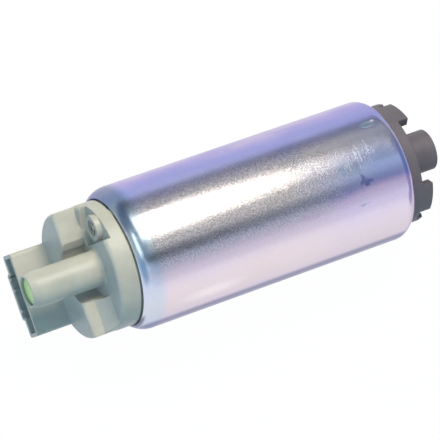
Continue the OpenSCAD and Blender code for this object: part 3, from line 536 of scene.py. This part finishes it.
def sintered(name, tone, metallic, roughness=0.5, grain=0.22):
    """Pressed powder: pores and a mottled tone."""
    made = Finish(name)
    tone = tuple(tone)
    pores = made.cells(grain)
    cloud = made.noise(1.8, 4.0, 0.6)
    base = made.mix(made.line(cloud, 0.3, 0.7), scaled(tone, 0.82), scaled(tone, 1.15))
    base = made.mix(made.range(pores, 0.25, 0.05, 0.0, 0.5), base, scaled(tone, 0.45))
    rough = made.line(cloud, 0.3, 0.7, roughness - 0.06, roughness + 0.1)
    relief = made.bump(made.range(pores, 0.0, 0.4), 0.00001, made.rounded(0.00015))
    return made.set(Base_Color=base, Roughness=rough, Metallic=metallic, Normal=relief)


def enamelled_wire(name, tone, pitch=0.34):
    """Enamelled copper turns that lie side by side round the X axis."""
    made = Finish(name)
    tone = tuple(tone)
    x, y, z = made.axes()
    around = made.math("ARCTAN2", y, z)
    wave = made.times(made.math("SINE", made.times(around, 8.0)), 0.5)
    skew = made.plus(made.hypot(y, z), made.times(x, 0.7), wave)
    turns = made.math("SINE", made.times(skew, 2 * math.pi / pitch))
    cloud = made.noise(1.2, 3.0)
    # Painted shade: darker in the grooves between the turns
    base = made.mix(made.range(turns, -1.0, 0.4), scaled(tone, 0.35), tone)
    base = made.mix(made.range(cloud, 0.4, 0.8, 0.0, 0.35), base, scaled(tone, 0.6))
    return made.set(Base_Color=base, Roughness=made.line(cloud, 0.3, 0.7, 0.22, 0.38), Metallic=0.9,
                    Normal=made.bump(turns, 0.00006), Coat_Weight=0.4, Coat_Roughness=0.15)


def stacked_sheets(name, tone):
    """Punched laminations half a millimetre thick: thin lines across the X axis."""
    pitch = 0.5
    made = Finish(name)
    x = made.axes()[0]
    joints = made.math("SINE", made.times(x, 2 * math.pi / pitch))
    cloud = made.noise(2.0, 3.0, 0.6)
    base = made.mix(made.range(joints, 0.75, 1.0, 0.0, 0.8), tone, scaled(tone, 0.3))
    base = made.mix(made.range(cloud, 0.45, 0.75, 0.0, 0.5), base, scaled(tone, 0.6))
    return made.set(Base_Color=base, Roughness=made.line(cloud, 0.3, 0.7, 0.4, 0.6), Metallic=0.85,
                    Normal=made.bump(joints, -0.00002, made.rounded(0.0001)))


def soft_rubber(name, tone):
    """Black moulded rubber with a dusty bloom."""
    made = Finish(name)
    bloom = made.noise(1.5, 4.0, 0.65)
    base = made.mix(made.range(bloom, 0.4, 0.8, 0.0, 0.5), tuple(tone), (0.07, 0.07, 0.07))
    return made.set(Base_Color=base, Roughness=made.line(bloom, 0.3, 0.7, 0.6, 0.8),
                    Normal=made.bump(made.noise(0.15, 2.0), 0.000006, made.rounded(0.0001)))


# ---------------------------------------------------------------- mesh helpers

SHARP = math.radians(50.0)
FLAT = 0.01


def smooth_by_angle(shape, degrees):
    """Smooth faces, with the edges sharper than degrees kept crisp."""
    for face in shape.faces:
        face.smooth = True
    for edge in shape.edges:
        edge.smooth = edge.is_manifold and edge.calc_face_angle(0.0) < math.radians(degrees)


def spun(profile, steps):
    """Solid of revolution about the X axis, from a closed profile of (x, radius), all in mm."""
    shape = bmesh.new()
    line = [shape.verts.new((x, 0.0, radius)) for x, radius in profile]
    edges = [shape.edges.new(pair) for pair in zip(line, line[1:] + line[:1])]
    bmesh.ops.spin(shape, geom=line + edges, cent=(0.0, 0.0, 0.0), axis=X_AXIS, dvec=(0.0, 0.0, 0.0),
                   angle=2 * math.pi, steps=steps, use_merge=True, use_duplicate=False)
    bmesh.ops.remove_doubles(shape, verts=shape.verts, dist=1e-4)
    bmesh.ops.recalc_face_normals(shape, faces=shape.faces)
    return shape


def sharp_edges(shape):
    """Edges sharper than 50 degrees."""
    return [e for e in shape.edges if e.is_manifold and e.calc_face_angle(0.0) > SHARP]


def bevel(shape, edges, width, segments=2):
    """Rounds edges to a width in mm."""
    bmesh.ops.bevel(shape, geom=edges, offset=width, segments=segments, profile=0.5, affect="EDGES", material=-1,
                    clamp_overlap=True)


def merged_copy(node, flat=0.0):
    """Shape of a CAD node in mm with its loose triangles joined, and merged where they lie flat to flat radians."""
    shape = bmesh.new()
    shape.from_mesh(NODES[node].data)
    bmesh.ops.remove_doubles(shape, verts=shape.verts, dist=1e-6)
    bmesh.ops.scale(shape, vec=(1 / MM,) * 3, verts=shape.verts)
    if flat:
        bmesh.ops.dissolve_limit(shape, angle_limit=flat, verts=shape.verts, edges=shape.edges)
    return shape


def place_mesh(name, shape, finish):
    """Turns a shape into an object of the scene with one material."""
    mesh = bpy.data.meshes.new(name)
    shape.to_mesh(mesh)
    shape.free()
    mesh.materials.append(finish)
    made = bpy.data.objects.new(name, mesh)
    bpy.context.scene.collection.objects.link(made)
    return made


def make_piece(name, shape, body, finish, replaces, crisp=32.0, weighted=True):
    """Turns a shape in mm into a piece in metres that rides on a body."""
    smooth_by_angle(shape, crisp)
    bmesh.ops.scale(shape, vec=(MM,) * 3, verts=shape.verts)
    piece = place_mesh(name, shape, finish)
    if weighted:
        normals = piece.modifiers.new("Even shading", "WEIGHTED_NORMAL")
        normals.keep_sharp = True
        normals.weight = 60
    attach(piece, body)
    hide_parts(*replaces)
    return piece


def recast(name, node, body, finish):
    """Piece with the shape of a CAD node and smooth shading."""
    return make_piece(name, merged_copy(node), body, finish, [node])


def dress(node, finish):
    """Gives a CAD node its material."""
    data = NODES[node].data
    data.materials.clear()
    data.materials.append(finish)


def long_box(node):
    """Corners of a node's box in mm, and (y, z) of its middle line along X."""
    low, high = (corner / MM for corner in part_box(node))
    return low, high, ((low.y + high.y) / 2, (low.z + high.z) / 2)


def coil(node, wire, turns, steps):
    """Round wire of a radius in mm, wound about the middle line of a CAD node's box and as large as the box."""
    low, high, (middle_y, middle_z) = long_box(node)
    radius = (high.z - low.z) / 2 - wire
    sides = 10
    shape = bmesh.new()
    ring = bmesh.ops.create_circle(shape, cap_ends=True, radius=wire, segments=sides)
    turn = Matrix.Translation((low.x + wire, middle_y, middle_z + radius)) @ Matrix.Rotation(math.radians(90), 4, "X")
    bmesh.ops.transform(shape, matrix=turn, verts=ring["verts"])
    count = int(turns * steps)
    run = high.x - low.x - 2 * wire
    bmesh.ops.spin(shape, geom=shape.verts[:] + shape.edges[:] + shape.faces[:], cent=(0.0, middle_y, middle_z),
                   axis=X_AXIS, dvec=(run / count, 0.0, 0.0), angle=2 * math.pi * turns, steps=count,
                   use_merge=False, use_duplicate=False)
    caps = [f for f in shape.faces if len(f.verts) == sides]
    if len(caps) < 2:
        bmesh.ops.holes_fill(shape, edges=[e for e in shape.edges if e.is_boundary])
    bmesh.ops.recalc_face_normals(shape, faces=shape.faces)
    return shape


def lay_spring(name, node, wire, turns, steps, steel):
    """Spring in the place of a CAD spring, riding on the housing."""
    shape = coil(node, wire, turns, steps)
    piece = make_piece(name, shape, "housing", steel, [node], crisp=60.0, weighted=False)
    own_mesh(piece)


# ---------------------------------------------------------------- pieces


class PUMP_OT_can(Operator):
    """Rolled steel can with its lips, shoulders and staked dimple"""

    bl_idname = "pump.can"
    bl_label = "Can"

    # Steps of the mesh: round the can, and along each shoulder outside and inside
    ROUND, OUTSIDE, INSIDE = 288, 14, 10
    # Steps along the straight wall in mm: at the dimple, between these places in X, elsewhere, and inside
    FINE, FINE_FROM, FINE_TO, COARSE, WIDE = 0.28, 29.0, 36.4, 1.2, 12.0
    # Distances in mm of the first and the last of these steps from the shoulders
    FROM_OUTLET, FROM_INLET = 1.0, 0.2
    # Dimple: place in X in mm, angle from +Z towards +Y, half sizes along X and round the can in mm
    DIMPLE = (33.5, math.radians(38.5), 2.2, 0.85)
    # Where the dimple's slope runs out and how long it is, in half sizes, and the depth in mm that it can reach
    DIMPLE_RIM, DIMPLE_SLOPE, DIMPLE_SKIN = 1.3, 0.7, 0.2

    def execute(self, context):
        settings = context.scene.pump_can
        low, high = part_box("can")
        radius = high.z / MM
        wall = settings.wall / MM

        def shoulder(length, drop):
            arc = (length * length + drop * drop) / (2 * drop)
            return arc, math.asin(length / arc)

        def arc_points(middle_x, arc, depth, start, end, count):
            for i in range(count + 1):
                turn = start + (end - start) * i / count
                yield middle_x + (arc - depth) * math.sin(turn), radius - arc + (arc - depth) * math.cos(turn)

        out_len, in_len = settings.outlet_shoulder / MM, settings.inlet_shoulder / MM
        out_arc, out_turn = shoulder(out_len, settings.outlet_drop / MM)
        in_arc, in_turn = shoulder(in_len, settings.inlet_drop / MM)
        out_x, in_x = low.x / MM + out_len, high.x / MM - in_len
        outer = list(arc_points(out_x, out_arc, 0.0, -out_turn, 0.0, self.OUTSIDE))
        x = out_x + self.FROM_OUTLET
        while x < in_x - self.FROM_INLET:
            outer.append((x, radius))
            x += self.FINE if self.FINE_FROM < x < self.FINE_TO else self.COARSE
        outer += list(arc_points(in_x, in_arc, 0.0, 0.0, in_turn, self.OUTSIDE))
        inner = list(arc_points(in_x, in_arc, wall, in_turn, 0.0, self.INSIDE))
        inner += [(in_x - self.WIDE * i, radius - wall) for i in range(1, 6)]
        inner += list(arc_points(out_x, out_arc, wall, 0.0, -out_turn, self.INSIDE))
        shape = spun(outer + inner, self.ROUND)
        self.press_dimple(shape, radius, settings.dimple_depth / MM)
        bevel(shape, sharp_edges(shape), settings.lip_round / MM, segments=3)
        make_piece("can_shell", shape, "housing", plated_sheet(settings), ["can"], crisp=60.0)
        return {"FINISHED"}

    def press_dimple(self, shape, radius, depth):
        """Pushes the outer wall in over a small oval near the inlet end."""
        place_x, place_turn, half_x, half_round = self.DIMPLE
        for vert in shape.verts:
            x, y, z = vert.co
            away = math.hypot(y, z)
            if away < radius - self.DIMPLE_SKIN:
                continue
            turn = math.atan2(y, z) - place_turn
            reach = math.hypot((x - place_x) / half_x, turn * radius / half_round)
            if reach < self.DIMPLE_RIM:
                t = min(1.0, max(0.0, (self.DIMPLE_RIM - reach) / self.DIMPLE_SLOPE))
                push = depth * t * t * (3 - 2 * t)
                vert.co.y -= push * y / away
                vert.co.z -= push * z / away


class PUMP_OT_outlet_cover(Operator):
    """Moulded outlet cover with spigot, wings, relief boss and connector socket"""

    bl_idname = "pump.outlet_cover"
    bl_label = "Outlet cover"

    def execute(self, context):
        settings = context.scene.pump_cover
        finish = moulded("sage_moulding", settings.outlet, settings)
        recast("outlet_cover_moulding", "outlet_cover", "housing", finish)
        return {"FINISHED"}


class PUMP_OT_inlet_cover(Operator):
    """Moulded inlet cover with tabs, lugs and the inlet spigot"""

    bl_idname = "pump.inlet_cover"
    bl_label = "Inlet cover"

    # The tabs stand this far past the can's end, and outside this radius, and their edges are rounded, in mm
    TABS_PAST_CAN, TABS_OUTSIDE, TAB_ROUND = 1.0, 13.5, 0.45

    def execute(self, context):
        settings = context.scene.pump_cover
        finish = moulded("dark_moulding", settings.inlet, settings, roughness=0.5)
        shape = merged_copy("inlet_cover", flat=math.radians(0.2))
        tabs_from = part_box("can")[1].x / MM + self.TABS_PAST_CAN
        tab_edges = [e for e in sharp_edges(shape) if min(v.co.x for v in e.verts) > tabs_from
                     and max(math.hypot(v.co.y, v.co.z) for v in e.verts) > self.TABS_OUTSIDE]
        bevel(shape, tab_edges, self.TAB_ROUND, segments=3)
        make_piece("inlet_cover_moulding", shape, "housing", finish, ["inlet_cover"])
        return {"FINISHED"}


class PUMP_OT_valves(Operator):
    """Check valve, relief valve and their springs"""

    bl_idname = "pump.valves"
    bl_label = "Valves"

    # Rounding of the poppet's edges in mm
    POPPET_ROUND = 0.18
    # Valves with the radius of their springs' wire in mm, and turns of a spring
    SPRUNG, TURNS = (("check_valve", 0.25), ("relief_valve", 0.2)), 5

    def execute(self, context):
        valve, motor, cover = context.scene.pump_valve, context.scene.pump_motor, context.scene.pump_cover
        steel = turned_metal("drawn_steel", motor.steel)
        rubber = soft_rubber("seal_rubber", valve.rubber)
        poppet = merged_copy("check_valve_poppet")
        bevel(poppet, sharp_edges(poppet), self.POPPET_ROUND, segments=3)
        finish = moulded("lime_moulding", valve.poppet, cover, shadow=0.93, roughness=0.3)
        make_piece("check_valve_poppet_moulding", poppet, "check_valve", finish,
                   ["check_valve_poppet"], crisp=50.0)
        dress("check_valve_seal", rubber)
        dress("outlet_seal_ring", rubber)
        dress("relief_valve_ball", turned_metal("ball_steel", motor.steel, 0.12, 0.4, 0.0000005))
        recast("check_valve_spider", "check_valve_guide", "housing", steel)
        recast("relief_valve_spider", "relief_valve_retainer", "housing", steel)
        for name, wire in self.SPRUNG:
            lay_spring(name + "_coil", name + "_spring", wire, self.TURNS, motor.spring_steps, steel)
        return {"FINISHED"}


class PUMP_OT_electrics(Operator):
    """Terminals, interference chokes, brushes and their leads and springs"""

    bl_idname = "pump.electrics"
    bl_label = "Terminals and brushes"

    # Rounding of the blades' and of the brushes' edges in mm
    BLADE_ROUND, BRUSH_ROUND = 0.16, 0.2
    # Radius of the wire in mm and turns of a choke and of a brush spring
    CHOKE_WIRE, CHOKE_TURNS = 0.375, 6
    SPRING_WIRE, SPRING_TURNS = 0.25, 7

    def execute(self, context):
        motor = context.scene.pump_motor
        steel = turned_metal("spring_steel", motor.steel, 0.22)
        tinned = turned_metal("tinned_blade", (0.66, 0.65, 0.62), 0.3, 0.2)
        wire = enamelled_wire("choke_wire", motor.copper, 0.75)
        carbon = sintered("brush_carbon", (0.035, 0.035, 0.037), 0.2, 0.45, 0.15)
        ferrite = sintered("choke_ferrite", motor.ferrite, 0.0, 0.5, 0.2)
        strand = enamelled_wire("brush_strand", motor.copper, 0.3)
        for side, holder in (("positive", "brush_a"), ("negative", "brush_b")):
            blade = merged_copy("terminal_" + side, flat=FLAT)
            bevel(blade, sharp_edges(blade), self.BLADE_ROUND)
            make_piece("terminal_blade_" + side, blade, "housing", tinned, ["terminal_" + side])
            dress("choke_core_" + side, ferrite)
            winding = "choke_winding_" + side
            turns = coil(winding, self.CHOKE_WIRE, self.CHOKE_TURNS, motor.spring_steps)
            make_piece("choke_turns_" + side, turns, "housing", wire, [winding], crisp=60.0, weighted=False)
            block = merged_copy("brush_" + side, flat=FLAT)
            bevel(block, sharp_edges(block), self.BRUSH_ROUND)
            make_piece("brush_block_" + side, block, holder, carbon, ["brush_" + side])
            lay_spring("brush_coil_" + side, "brush_spring_" + side, self.SPRING_WIRE,
                       self.SPRING_TURNS, motor.spring_steps, steel)
            dress("brush_lead_" + side, strand)
        return {"FINISHED"}


class PUMP_OT_motor(Operator):
    """Shaft, bearings, armature, commutator, magnets and clips"""

    bl_idname = "pump.motor"
    bl_label = "Motor"

    def execute(self, context):
        motor, cover = context.scene.pump_motor, context.scene.pump_cover
        steel = turned_metal("ground_shaft", motor.steel, 0.18, 0.08)
        bronze = sintered("bearing_bronze", motor.bronze, 1.0, 0.42)
        sheets = stacked_sheets("armature_sheets", (0.40, 0.40, 0.41))
        resin = moulded("red_resin_moulding", motor.resin, cover, roughness=0.4)
        black = moulded("black_resin_moulding", (0.03, 0.03, 0.032), cover, roughness=0.45)
        segment = turned_metal("commutator_copper", motor.copper, 0.3, 0.15)
        magnet = sintered("magnet_ferrite", motor.ferrite, 0.1, 0.55, 0.3)
        for node, finish in (
            ("shaft", steel), ("upper_bearing", bronze), ("lower_bearing", bronze), ("upper_washer", steel),
            ("lower_washer", steel), ("armature_core", sheets), ("upper_insulator", resin),
            ("lower_insulator", resin), ("commutator_hub", black), ("commutator_segments", segment),
            ("magnet_front", magnet), ("magnet_back", magnet), ("magnet_clip_upper", steel),
            ("magnet_clip_lower", steel),
        ):
            dress(node, finish)
        turns = enamelled_wire("armature_wire", motor.copper)
        recast("armature_coils", "armature_windings", "rotor", turns)
        return {"FINISHED"}


class PUMP_OT_turbine(Operator):
    """Pump body, impeller and thrust pad"""

    bl_idname = "pump.turbine"
    bl_label = "Turbine stage"

    def execute(self, context):
        cover, motor = context.scene.pump_cover, context.scene.pump_motor
        dark = moulded("pump_body_moulding", cover.inlet, cover, roughness=0.5)
        resin = moulded("impeller_moulding", (0.05, 0.055, 0.06), cover, roughness=0.38)
        recast("pump_body_casing", "pump_body", "housing", dark)
        recast("impeller_disc", "impeller", "rotor", resin)
        dress("thrust_pad", turned_metal("pad_steel", motor.steel, 0.2))
        return {"FINISHED"}


# ---------------------------------------------------------------- stage

# Lamps: name, place, target, setting of the power, width and height in metres, tint, and True for a lamp that only
# reflections see, False for one that they don't
LAMPS = (
    ("key_lamp", (0.076, 0.187, 0.270), (0.076, 0.0, 0.0), "key_power", 0.10, 0.228, (1.0, 0.94, 0.86), True),
    ("soft_lamp", (0.05, 0.60, 1.03), (0.0, 0.0, 0.0), "soft_power", 0.45, 0.45, (1.0, 0.80, 0.60), False),
    ("side_lamp", (-0.85, -0.20, 0.45), (0.0, 0.0, 0.0), "side_power", 0.5, 0.5, (0.44, 0.56, 1.0), False),
)
# Cards: name, turn from +Z towards +Y and lean towards +X in degrees, distance, shift along X, width and height in
# metres, and tone, which is brighter than white where it passes 1
CARDS = (
    ("dark_card", -13.5, 22.0, 0.36, -0.24, 0.50, 0.085, (0.14, 0.14, 0.16)),
    ("front_card", -14.0, 22.0, 1.3, 0.0, 2.6, 0.48, (0.50, 0.50, 0.54)),
    ("middle_card", 4.5, 22.0, 1.3, 0.0, 2.6, 0.36, (0.72, 0.72, 0.75)),
    ("upper_card", 40.0, 22.0, 1.3, 0.0, 2.6, 1.20, (0.42, 0.42, 0.45)),
    ("back_card", 80.0, 22.0, 1.3, 0.0, 2.6, 0.68, (0.36, 0.35, 0.38)),
    ("low_card", -33.0, 22.0, 1.3, 0.0, 2.6, 0.38, (0.60, 0.60, 0.64)),
    ("lower_card", -49.0, 22.0, 1.3, 0.0, 2.6, 0.34, (0.77, 0.77, 0.81)),
    ("outlet_card", 0.0, -52.0, 1.3, 0.0, 0.8, 2.2, (0.34, 0.45, 0.58)),
    ("glint_card", 15.0, -43.0, 1.2, 0.0, 0.22, 0.66, (3.0, 3.2, 3.5)),
    ("rim_card", 16.0, -70.0, 1.2, 0.0, 0.40, 0.80, (0.8, 0.82, 0.8)),
    ("edge_card", 35.0, -8.1, 0.333, 0.0, 0.146, 0.24, (2.6, 2.6, 2.65)),
    ("halo_card", 66.0, 22.0, 1.25, 0.0, 2.6, 0.26, (0.58, 0.57, 0.56)),
    ("inlet_card", 0.0, 68.0, 1.2, 0.0, 1.0, 2.8, (0.34, 0.34, 0.50)),
    ("shoulder_card", 18.0, -17.0, 1.3, 0.0, 0.84, 1.5, (0.36, 0.45, 0.56)),
    ("top_card", 80.0, -30.0, 1.3, 0.0, 1.6, 1.5, (0.20, 0.26, 0.40)),
)


class PUMP_OT_stage(Operator):
    """White floor, lamps, cards for the metal and the camera"""

    bl_idname = "pump.stage"
    bl_label = "Stage"

    # Half the floor's side in metres, strength of its own glow and how much of that the camera and reflections see
    FLOOR_HALF, FLOOR_GLOW, FLOOR_GLOW_SHARE = 4.0, 1.025, 0.96

    def execute(self, context):
        settings = context.scene.pump_stage
        self.camera(context, settings)
        self.floor(settings)
        for lamp in LAMPS:
            self.lamp(context, settings, *lamp)
        for card in CARDS:
            self.card(*card)
        self.world(context, settings)
        context.scene.view_settings.view_transform = "Standard"
        return {"FINISHED"}

    @staticmethod
    def camera(context, settings):
        """The photo's camera."""
        data = bpy.data.cameras.new("photo_camera")
        data.sensor_width = 36.0
        data.lens = settings.lens
        data.clip_start, data.clip_end = 0.01, 20.0
        camera = bpy.data.objects.new("photo_camera", data)
        back = -Vector(settings.look).normalized()
        right = Vector(settings.up).cross(back).normalized()
        up = back.cross(right)
        turn = Matrix((right, up, back)).transposed().to_4x4()
        camera.matrix_world = Matrix.Translation(settings.camera_place) @ turn
        context.scene.collection.objects.link(camera)
        context.scene.camera = camera

    def floor(self, settings):
        """Floor under the part, which looks white and can't be seen from below."""
        shape = bmesh.new()
        bmesh.ops.create_grid(shape, x_segments=1, y_segments=1, size=self.FLOOR_HALF)
        bmesh.ops.translate(shape, vec=(0.0, 0.0, CAD_BOX[0].z), verts=shape.verts)
        made = Finish("floor_paint")
        wash = made.line(made.noise(90.0, 2.0), 0.3, 0.7, 0.98, 1.0)
        tone = made.mix(wash, (0.0, 0.0, 0.0), tuple(settings.floor))
        made.set(Base_Color=tone, Roughness=0.9, Specular_IOR_Level=0.1)
        glow = made.add("ShaderNodeEmission", inputs={"Color": (1.0, 1.0, 1.0), "Strength": self.FLOOR_GLOW})
        seen = made.times(seen_rays(made.tree), self.FLOOR_GLOW_SHARE)
        lit = made.add("ShaderNodeMixShader", inputs={0: seen, 1: made.shader.outputs[0], 2: glow.outputs[0]})
        clear = made.add("ShaderNodeBsdfTransparent")
        under = made.add("ShaderNodeNewGeometry").outputs["Backfacing"]
        made.show(made.add("ShaderNodeMixShader", inputs={0: under, 1: lit.outputs[0], 2: clear.outputs[0]}))
        floor = place_mesh("floor", shape, made.material)

    @staticmethod
    def lamp(context, settings, name, place, target, power, width, height, tint, in_metal):
        """Oval lamp that faces its target."""
        data = bpy.data.lights.new(name, "AREA")
        data.shape = "ELLIPSE"
        data.size, data.size_y = width, height
        data.energy = getattr(settings, power)
        data.color = tint
        lamp = bpy.data.objects.new(name, data)
        lamp.location = place
        lamp.rotation_mode = "QUATERNION"
        lamp.rotation_quaternion = (Vector(target) - Vector(place)).to_track_quat("-Z", "Y")
        lamp.visible_glossy, lamp.visible_diffuse = in_metal, not in_metal
        context.scene.collection.objects.link(lamp)

    @staticmethod
    def card(name, turn, lean, distance, shift, width, height, tone):
        """Glowing card that faces the part and that only reflections see."""
        made = Finish(name + "_paint")
        peak = max(1.0, *tone)
        cloud = made.range(made.noise(300.0, 1.0), 0.3, 0.7)
        shade = made.mix(cloud, scaled(tone, 0.9 / peak), scaled(tone, 1.1 / peak))
        made.show(made.add("ShaderNodeEmission", inputs={"Color": shade, "Strength": peak}))
        shape = bmesh.new()
        bmesh.ops.create_grid(shape, x_segments=4, y_segments=4, size=0.5)
        bmesh.ops.scale(shape, vec=(width, height, 1.0), verts=shape.verts)
        turn, lean = math.radians(turn), math.radians(lean)
        away = Vector((math.sin(lean), math.cos(lean) * math.sin(turn), math.cos(lean) * math.cos(turn)))
        across = Vector(X_AXIS) - away * away.x
        across.normalize()
        facing = Matrix((across, (-away).cross(across), -away)).transposed().to_4x4()
        place = Matrix.Translation(away * distance + across * shift)
        bmesh.ops.transform(shape, matrix=place @ facing, verts=shape.verts)
        card = place_mesh(name, shape, made.material)
        card.visible_camera = card.visible_diffuse = card.visible_shadow = card.visible_transmission = False

    @staticmethod
    def world(context, settings):
        """Cool light from all round, which looks white."""
        world = bpy.data.worlds.new("studio")
        world.use_nodes = True
        tree = world.node_tree
        tree.nodes.clear()
        fill = add_node(tree, "ShaderNodeBackground", inputs={"Color": settings.fill})
        white = add_node(tree, "ShaderNodeBackground", inputs={"Color": (1.0, 1.0, 1.0)})
        blend = add_node(tree, "ShaderNodeMixShader",
                         inputs={0: seen_rays(tree), 1: fill.outputs[0], 2: white.outputs[0]})
        add_node(tree, "ShaderNodeOutputWorld", inputs={"Surface": blend.outputs[0]})
        context.scene.world = world


class PUMP_PT_looks(Panel):
    """Lists the pump's pieces and their settings"""

    bl_idname = "PUMP_PT_looks"
    bl_label = "Fuel pump"
    bl_space_type = "VIEW_3D"
    bl_region_type = "UI"
    bl_category = "Fuel pump"

    def draw(self, context):
        for operator in OPERATORS:
            self.layout.operator(operator.bl_idname)
        for name, group in SETTINGS.items():
            box = self.layout.box()
            for key in group.__annotations__:
                box.prop(getattr(context.scene, name), key)


SETTINGS = {
    "pump_can": PumpCanSettings,
    "pump_cover": PumpCoverSettings,
    "pump_valve": PumpValveSettings,
    "pump_motor": PumpMotorSettings,
    "pump_stage": PumpStageSettings,
}
OPERATORS = (
    PUMP_OT_stage,
    PUMP_OT_can,
    PUMP_OT_outlet_cover,
    PUMP_OT_inlet_cover,
    PUMP_OT_valves,
    PUMP_OT_electrics,
    PUMP_OT_motor,
    PUMP_OT_turbine,
)
CLASSES = (*SETTINGS.values(), *OPERATORS, PUMP_PT_looks)


def register():
    for each in CLASSES:
        bpy.utils.register_class(each)
    for name, group in SETTINGS.items():
        setattr(bpy.types.Scene, name, PointerProperty(type=group))


def unregister():
    for name in SETTINGS:
        delattr(bpy.types.Scene, name)
    for each in reversed(CLASSES):
        bpy.utils.unregister_class(each)


def main():
    """Builds every piece in order."""
    register()
    for operator in OPERATORS:
        group, name = operator.bl_idname.split(".")
        getattr(getattr(bpy.ops, group), name)()


if __name__ == "__main__":
    main()
